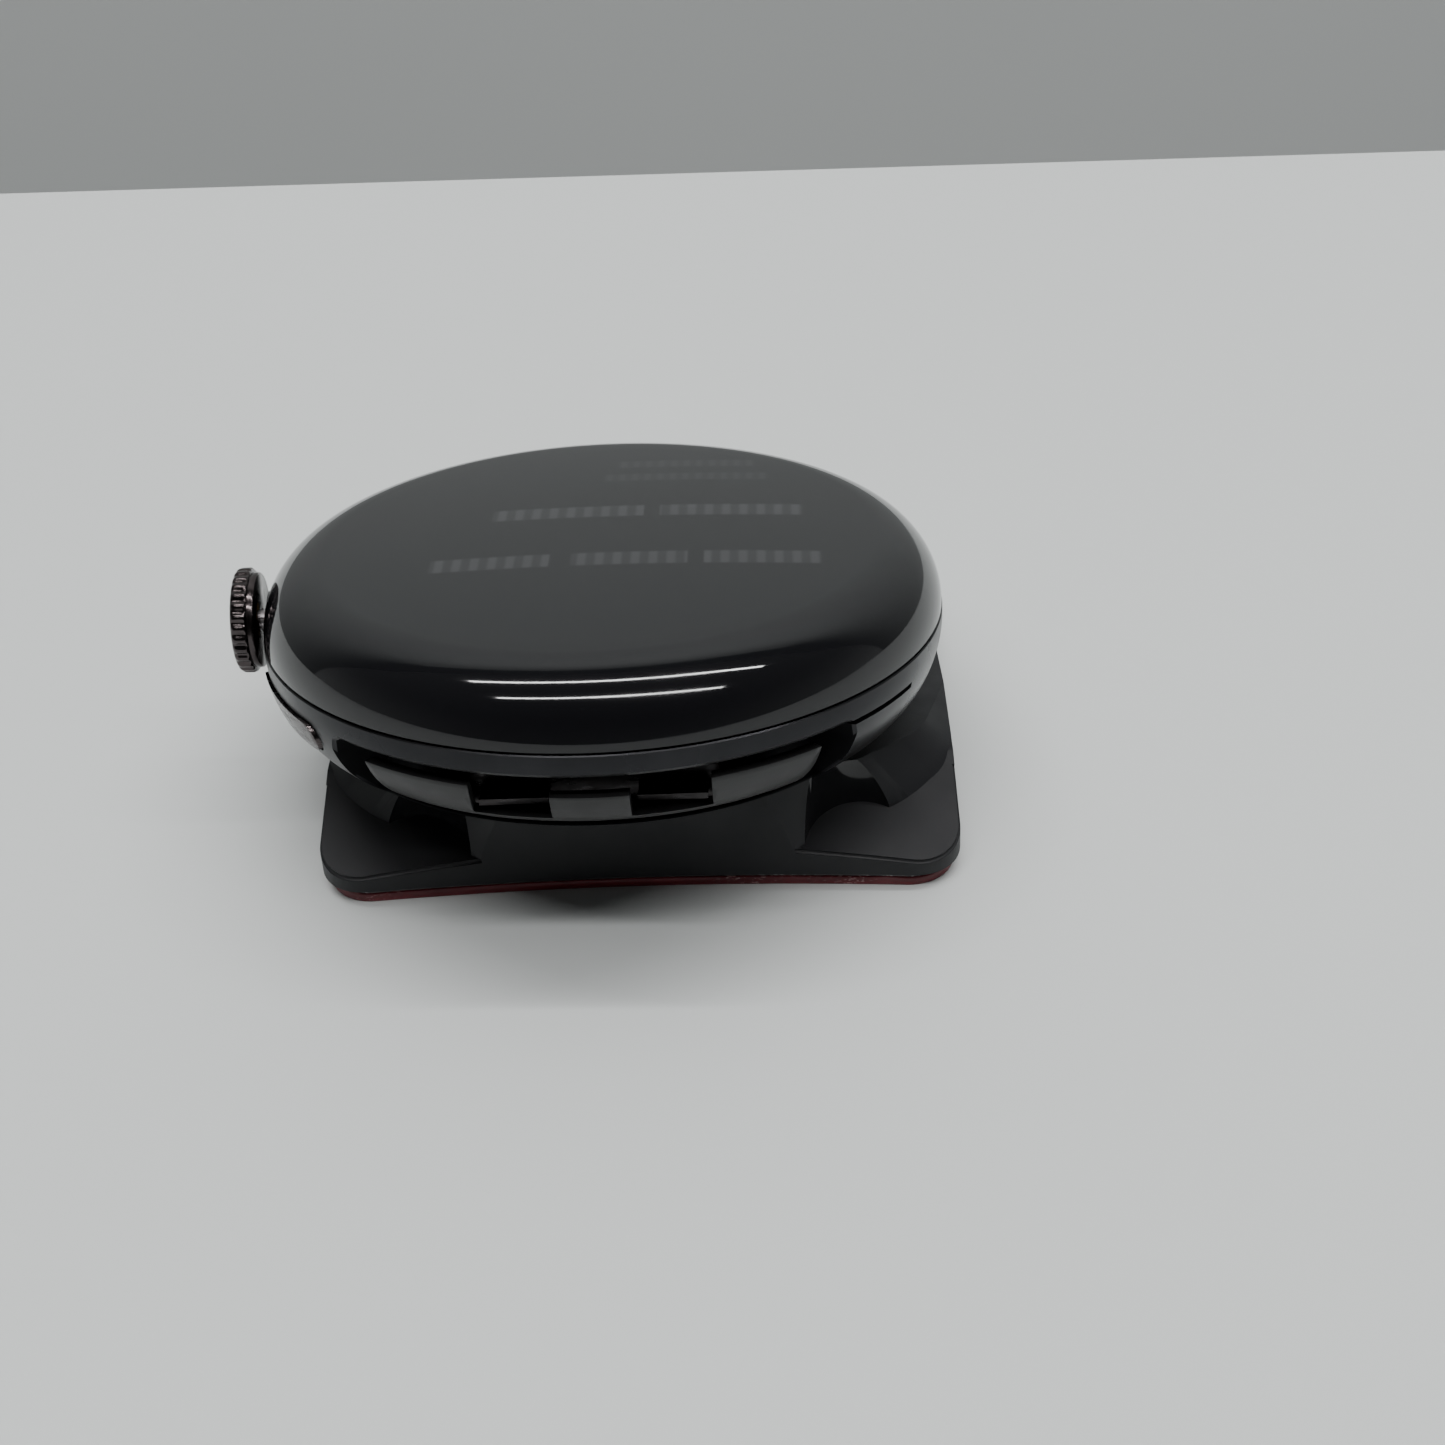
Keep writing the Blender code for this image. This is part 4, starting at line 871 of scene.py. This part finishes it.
class WATCHSTAND_OT_inside(bpy.types.Operator):
    """Finishes of the pieces inside the head and the stand"""
    bl_idname = "watchstand.inside"
    bl_label = "Inside pieces"

    def execute(self, context):
        rubber = moulded_finish("black rubber", (0.015, 0.015, 0.015), 0.75, 0.0)
        steel = polished_finish("plain steel", (0.55, 0.55, 0.57), 0.3)
        brass = polished_finish("turned brass", (0.6, 0.42, 0.16), 0.3)
        copper = polished_finish("copper winding", (0.65, 0.3, 0.15), 0.35)
        turns = add(copper, "TexWave", {"Vector": place_of(copper), "Scale": 1200.0},
                    wave_type="RINGS", rings_direction="Z")
        relief(copper, turns.outputs["Fac"], 0.05 * MM)
        board = moulded_finish("green board", (0.02, 0.12, 0.06), 0.45, 0.0)
        plastic = moulded_finish("dark inner plastic", (0.03, 0.03, 0.035), 0.5, 0.0)
        cell = moulded_finish("cell foil", (0.2, 0.2, 0.22), 0.35, 0.0)
        magnet = polished_finish("nickel plating", (0.5, 0.5, 0.5), 0.2)
        panel = moulded_finish("unlit panel", (0.008, 0.008, 0.01), 0.2, 0.0)
        wear = {
            rubber: ("glass_gasket", "back_gasket", "crown_seal", "button_seal"),
            steel: ("board_screw_1", "board_screw_2", "board_screw_3", "haptic_motor",
                    "crown_stem", "crown_circlip", "ballast_plate", "plate_screw_1",
                    "plate_screw_2", "plate_screw_3", "plate_screw_4"),
            brass: ("crown_bush",),
            copper: ("charging_coil",),
            board: ("main_board", "sensor_board"),
            plastic: ("inner_frame", "speaker_module", "crown_pusher", "crown_switch",
                      "button_switch"),
            cell: ("battery",),
            magnet: ("crown_encoder", "seat_magnet"),
            panel: ("display_panel",),
        }
        for finish, nodes in wear.items():
            for node in nodes:
                dress(node, finish)
        return {"FINISHED"}


# ---- stand ------------------------------------------------------------------------------
EAR_POINT = Vector((9.7, -16.0, 3.0)) * MM
EAR_NORMAL = Vector((sin(radians(17.9)) * cos(radians(-73.8)),
                     sin(radians(17.9)) * sin(radians(-73.8)), cos(radians(17.9))))
WEDGE_LOW = ((8.5, -16.45, 0.8), (15.8, -12.5, 8.0), (20.2, -9.0, 5.0), (19.8, 17.5, 2.0))
WEDGE_TOP = ((7.5, -15.3, 0.8), (11.6, -12.6, 5.0), (13.4, -9.0, 3.0), (13.4, 12.0, 2.0))


def ear_height(x, y):
    """Height of the +X ear's facet over a point."""
    across = (x - EAR_POINT.x) * EAR_NORMAL.x + (y - EAR_POINT.y) * EAR_NORMAL.y
    return EAR_POINT.z - across / EAR_NORMAL.z


def above_ear(side):
    """Everything above the plane of an ear's facet."""
    reach = 80 * MM
    normal = Vector((side * EAR_NORMAL.x, EAR_NORMAL.y, EAR_NORMAL.z))
    facet = box("above_ear", (reach, reach, reach / 4), (0, 0, reach / 8))
    facet.matrix_world = (Matrix.Translation((side * EAR_POINT.x, EAR_POINT.y, EAR_POINT.z))
                          @ normal.to_track_quat("Z", "Y").to_matrix().to_4x4())
    return facet


def groove_tool(outline, side, radius):
    """A thin round rope laid along the lower edge of an ear's facet."""
    points = []
    for x, y in outline:
        if x > EAR_POINT.x - 0.7 * MM and y < -9.2 * MM:
            points.append((side * x, y, ear_height(x, y) - radius * 0.5))
    points.sort(key=lambda point: (abs(point[0]) - 10 * MM) + (point[1] + 16 * MM))
    curve = bpy.data.curves.new("groove", "CURVE")
    curve.dimensions = "3D"
    curve.bevel_depth = radius
    curve.bevel_resolution = 3
    curve.use_fill_caps = True
    spline = curve.splines.new("POLY")
    spline.points.add(len(points) - 1)
    for point, place in zip(spline.points, points):
        point.co = (*place, 1.0)
    rope = bpy.data.objects.new("groove", curve)
    bpy.context.scene.collection.objects.link(rope)
    bpy.context.view_layer.update()
    graph = bpy.context.evaluated_depsgraph_get()
    bm = bmesh.new()
    bm.from_mesh(bpy.data.meshes.new_from_object(rope.evaluated_get(graph)))
    bpy.data.objects.remove(rope, do_unlink=True)
    bmesh.ops.remove_doubles(bm, verts=bm.verts, dist=1e-7)
    return body_from("groove", bm)


class WATCHSTAND_OT_stand(bpy.types.Operator):
    """Wedge moulding with its ears, glossy flutes and pad recess"""
    bl_idname = "watchstand.stand"
    bl_label = "Stand"

    def execute(self, context):
        stand = context.scene.stand_settings
        low, half_y = STAND_LOW.z, STAND_HIGH.y
        base = base_outline(stand, STAND_HIGH.x, half_y)
        satin = moulded_finish("satin moulded black", context.scene.finish_settings.stand, 0.5,
                               sheen=0.32)
        gloss = wet_black_finish()
        deep = 2 * half_y
        moulding = box("wedge_moulding", (3 * STAND_HIGH.x, deep, stand.ear_top + 1 * MM),
                       (0, -stand.ear_rear - deep / 2, (stand.ear_top - 1 * MM) / 2))
        moulding.data.materials.append(satin)
        carve(moulding, above_ear(1), above_ear(-1))
        foot, head_end = wedge_outline(WEDGE_LOW), wedge_outline(WEDGE_TOP)
        wedge = skinned("wedge", [[(x, y, 0) for x, y in foot],
                                  [(x, y, stand.flank_low) for x, y in foot],
                                  [(x, y, stand.top) for x, y in head_end]])
        carve(moulding, wedge, operation="UNION")
        carve(moulding, prism("limit", base, low, 2 * stand.top), operation="INTERSECT")
        saddle = box("saddle", (120 * MM, 120 * MM, 20 * MM), (0, 0, 10 * MM - stand.saddle))
        saddle.matrix_world = HEAD
        above = box("above", (120 * MM, 120 * MM, 40 * MM), (0, 0, low + stand.plate + 20 * MM))
        carve(saddle, above, operation="INTERSECT")
        carve(moulding, saddle)
        flutes = []
        for side in (1, -1):
            flute = drum("flute", stand.flute_radius, 0, stand.top + 0.3 * MM,
                         stand.flute_top, 72, (side * stand.flute_x, -stand.flute_y))
            flute.data.materials.append(gloss)
            floor = above_ear(side)
            floor.data.materials.append(satin)
            flutes.append(carve(flute, floor, operation="INTERSECT"))
        grooves = [groove_tool(base, side, stand.groove) for side in (1, -1)]
        recess = drum("recess", stand.pad_radius + 0.1 * MM, -8.12 * MM, -6 * MM, sides=96)
        recess.matrix_world = HEAD
        magnet = drum("magnet", 5.1 * MM, -13.5 * MM, -8.67 * MM, sides=64)
        magnet.matrix_world = HEAD
        plate = box("plate", (PLATE_HIGH.x - PLATE_LOW.x + 0.2 * MM,
                              PLATE_HIGH.y - PLATE_LOW.y + 0.2 * MM, 2 * (PLATE_HIGH.z - low)),
                    (0, (PLATE_HIGH.y + PLATE_LOW.y) / 2, low))
        carve(moulding, *flutes)
        carve(moulding, recess, magnet, plate, *grooves)
        seat(moulding, "stand", "stand_plastic", "stand_shell", sharp=35)
        even_shading(moulding)
        return {"FINISHED"}


class WATCHSTAND_OT_base_tape(bpy.types.Operator):
    """Adhesive foam and its release liner under the stand"""
    bl_idname = "watchstand.base_tape"
    bl_label = "Foam and liner"

    def execute(self, context):
        stand = context.scene.stand_settings
        finishes = context.scene.finish_settings
        outline = base_outline(stand, FOAM_HIGH.x, FOAM_HIGH.y)
        foam = prism("foam_layer", outline, FOAM_LOW.z - 0.03 * MM, FOAM_HIGH.z + 0.04 * MM)
        soften(foam, 0.1 * MM, 2, 50)
        seat(foam, "stand", "clear_grey_foam", "adhesive_foam",
             finish=foam_finish(finishes.foam))
        liner = prism("liner_film", outline, LINER_LOW.z, LINER_HIGH.z)
        soften(liner, 0.08 * MM, 2, 50)
        seat(liner, "stand", "red_liner", "release_liner", finish=liner_finish(finishes.liner))
        return {"FINISHED"}


class WATCHSTAND_OT_pad(bpy.types.Operator):
    """Tacky pad that the head rests on"""
    bl_idname = "watchstand.pad"
    bl_label = "Seat pad"

    def execute(self, context):
        radius = context.scene.stand_settings.pad_radius
        low, high = -8.02 * MM, -7.37 * MM
        line = [(0.0, high)]
        line += [(radius * share, high - 0.05 * MM * share ** 3) for share in (0.3, 0.6, 0.85)]
        line += arc(radius - 0.2 * MM, high - 0.25 * MM, 0.2 * MM, pi / 2, 0, 6)
        line += [(radius, low + 0.05 * MM), (radius - 0.05 * MM, low), (0.0, low)]
        pad = turned("gel_pad", line, 96)
        finish = moulded_finish("grey gel", (0.20, 0.20, 0.21), 0.5, 0.01)
        seat(pad, "stand", "grey_gel", "seat_pad", at=HEAD, finish=finish)
        return {"FINISHED"}


# ---- stage ------------------------------------------------------------------------------
def area_light(name, size_x, size_y, place, power, spin, shiny=True):
    """A rectangular light that shines straight down."""
    light = bpy.data.lights.new(name, "AREA")
    light.shape = "RECTANGLE"
    light.size = size_x
    light.size_y = size_y
    light.energy = power
    lamp = bpy.data.objects.new(name, light)
    bpy.context.scene.collection.objects.link(lamp)
    lamp.location = place
    lamp.rotation_euler = (0, 0, spin)
    lamp.visible_glossy = shiny
    return lamp


class WATCHSTAND_OT_stage(bpy.types.Operator):
    """Table, wall, camera and lights"""
    bl_idname = "watchstand.stage"
    bl_label = "Stage"

    def execute(self, context):
        scene = context.scene
        stage, finishes = scene.stage_settings, scene.finish_settings
        table = box("table_top", (1.6, 0.45, 0.03), (0, -0.225 + 0.0778, -0.015))
        table.rotation_euler = (0, 0, radians(-1.0))
        soften(table, 0.6 * MM, 3, 40)
        table.data.materials.append(table_finish(finishes.table))
        wall = box("wall", (4.0, 0.02, 3.0), (0, 0.5, 0.3))
        wall.data.materials.append(table_finish(finishes.wall))

        world = scene.world or bpy.data.worlds.new("room")
        scene.world = world
        world.use_nodes = True
        tree = world.node_tree
        background = tree.nodes["Background"]
        background.inputs["Color"].default_value = (0.97, 1.0, 0.99, 1.0)
        coords = tree.nodes.new("ShaderNodeTexCoord")
        split = tree.nodes.new("ShaderNodeSeparateXYZ")
        fade = tree.nodes.new("ShaderNodeMapRange")
        fade.interpolation_type = "SMOOTHSTEP"
        fade.inputs["From Min"].default_value = -0.05
        fade.inputs["From Max"].default_value = 0.55
        fade.inputs["To Min"].default_value = stage.horizon
        fade.inputs["To Max"].default_value = stage.sky
        tree.links.new(coords.outputs["Generated"], split.inputs["Vector"])
        tree.links.new(split.outputs["Z"], fade.inputs["Value"])
        side = tree.nodes.new("ShaderNodeMapRange")
        side.inputs["From Min"].default_value = -0.85
        side.inputs["From Max"].default_value = 0.15
        side.inputs["To Min"].default_value = stage.front_share
        side.inputs["To Max"].default_value = 1.0
        both = tree.nodes.new("ShaderNodeMath")
        both.operation = "MULTIPLY"
        tree.links.new(split.outputs["Y"], side.inputs["Value"])
        tree.links.new(side.outputs["Result"], both.inputs[0])
        tree.links.new(fade.outputs["Result"], both.inputs[1])
        tree.links.new(both.outputs["Value"], background.inputs["Strength"])
        pivot = Matrix.Translation((HEAD_ORIGIN.x, HEAD_ORIGIN.y, 0))
        yawed = pivot @ Matrix.Rotation(-stage.yaw, 4, "Z") @ pivot.inverted()
        height = stage.tube_height
        area_light("rear_tube", 1.3, 0.026, yawed @ Vector((0.11, 0.045, height)),
                   stage.tube_power, -stage.yaw)
        area_light("front_tube", 1.25, 0.026, yawed @ Vector((0.10, -0.41, height)),
                   stage.tube_power, -stage.yaw)
        area_light("soft_fill", 1.5, 1.2, Vector((0.0, 0.15, 1.1)), stage.fill_power,
                   -stage.yaw, shiny=False)

        camera = bpy.data.cameras.new("camera")
        camera.sensor_width = 36.0
        camera.lens = stage.lens
        camera.clip_start = 0.005
        view = bpy.data.objects.new("camera", camera)
        scene.collection.objects.link(view)
        view.matrix_world = (yawed @ Matrix.Translation((13.65 * MM, -135.10 * MM, 108.61 * MM))
                             @ Matrix.Rotation(radians(3.748), 4, "Z")
                             @ Matrix.Rotation(radians(90 - 38.653), 4, "X")
                             @ Matrix.Rotation(radians(-3.08), 4, "Z"))
        scene.camera = view
        return {"FINISHED"}


OPERATORS = (WATCHSTAND_OT_glass, WATCHSTAND_OT_case, WATCHSTAND_OT_slot_inserts,
             WATCHSTAND_OT_crown, WATCHSTAND_OT_side_button, WATCHSTAND_OT_back,
             WATCHSTAND_OT_inside, WATCHSTAND_OT_stand, WATCHSTAND_OT_base_tape,
             WATCHSTAND_OT_pad, WATCHSTAND_OT_stage)


class WATCHSTAND_PT_panel(bpy.types.Panel):
    """Sizes, colours and the steps that build the watch head and its stand"""
    bl_idname = "WATCHSTAND_PT_panel"
    bl_label = "Watch Stand"
    bl_space_type = "VIEW_3D"
    bl_region_type = "UI"
    bl_category = "Watch Stand"

    def draw(self, context):
        layout = self.layout
        for operator in OPERATORS:
            layout.operator(operator.bl_idname)
        for name, group in SETTINGS.items():
            column = layout.column(align=True)
            column.label(text=group.bl_rna.name)
            for setting in group.__annotations__:
                column.prop(getattr(context.scene, name), setting)


SETTINGS = {"head_settings": HeadSettings, "slot_settings": SlotSettings,
            "crown_settings": CrownSettings, "stand_settings": StandSettings,
            "finish_settings": FinishSettings, "stage_settings": StageSettings}


def register():
    for group in SETTINGS.values():
        bpy.utils.register_class(group)
    for name, group in SETTINGS.items():
        setattr(bpy.types.Scene, name, PointerProperty(type=group))
    for operator in OPERATORS:
        bpy.utils.register_class(operator)
    bpy.utils.register_class(WATCHSTAND_PT_panel)


def unregister():
    bpy.utils.unregister_class(WATCHSTAND_PT_panel)
    for operator in reversed(OPERATORS):
        bpy.utils.unregister_class(operator)
    for name, group in SETTINGS.items():
        delattr(bpy.types.Scene, name)
        bpy.utils.unregister_class(group)


def main():
    register()
    bpy.ops.watchstand.stage()
    bpy.ops.watchstand.glass()
    bpy.ops.watchstand.case()
    bpy.ops.watchstand.slot_inserts()
    bpy.ops.watchstand.crown()
    bpy.ops.watchstand.side_button()
    bpy.ops.watchstand.back()
    bpy.ops.watchstand.inside()
    bpy.ops.watchstand.stand()
    bpy.ops.watchstand.base_tape()
    bpy.ops.watchstand.pad()


if __name__ == "__main__":
    main()
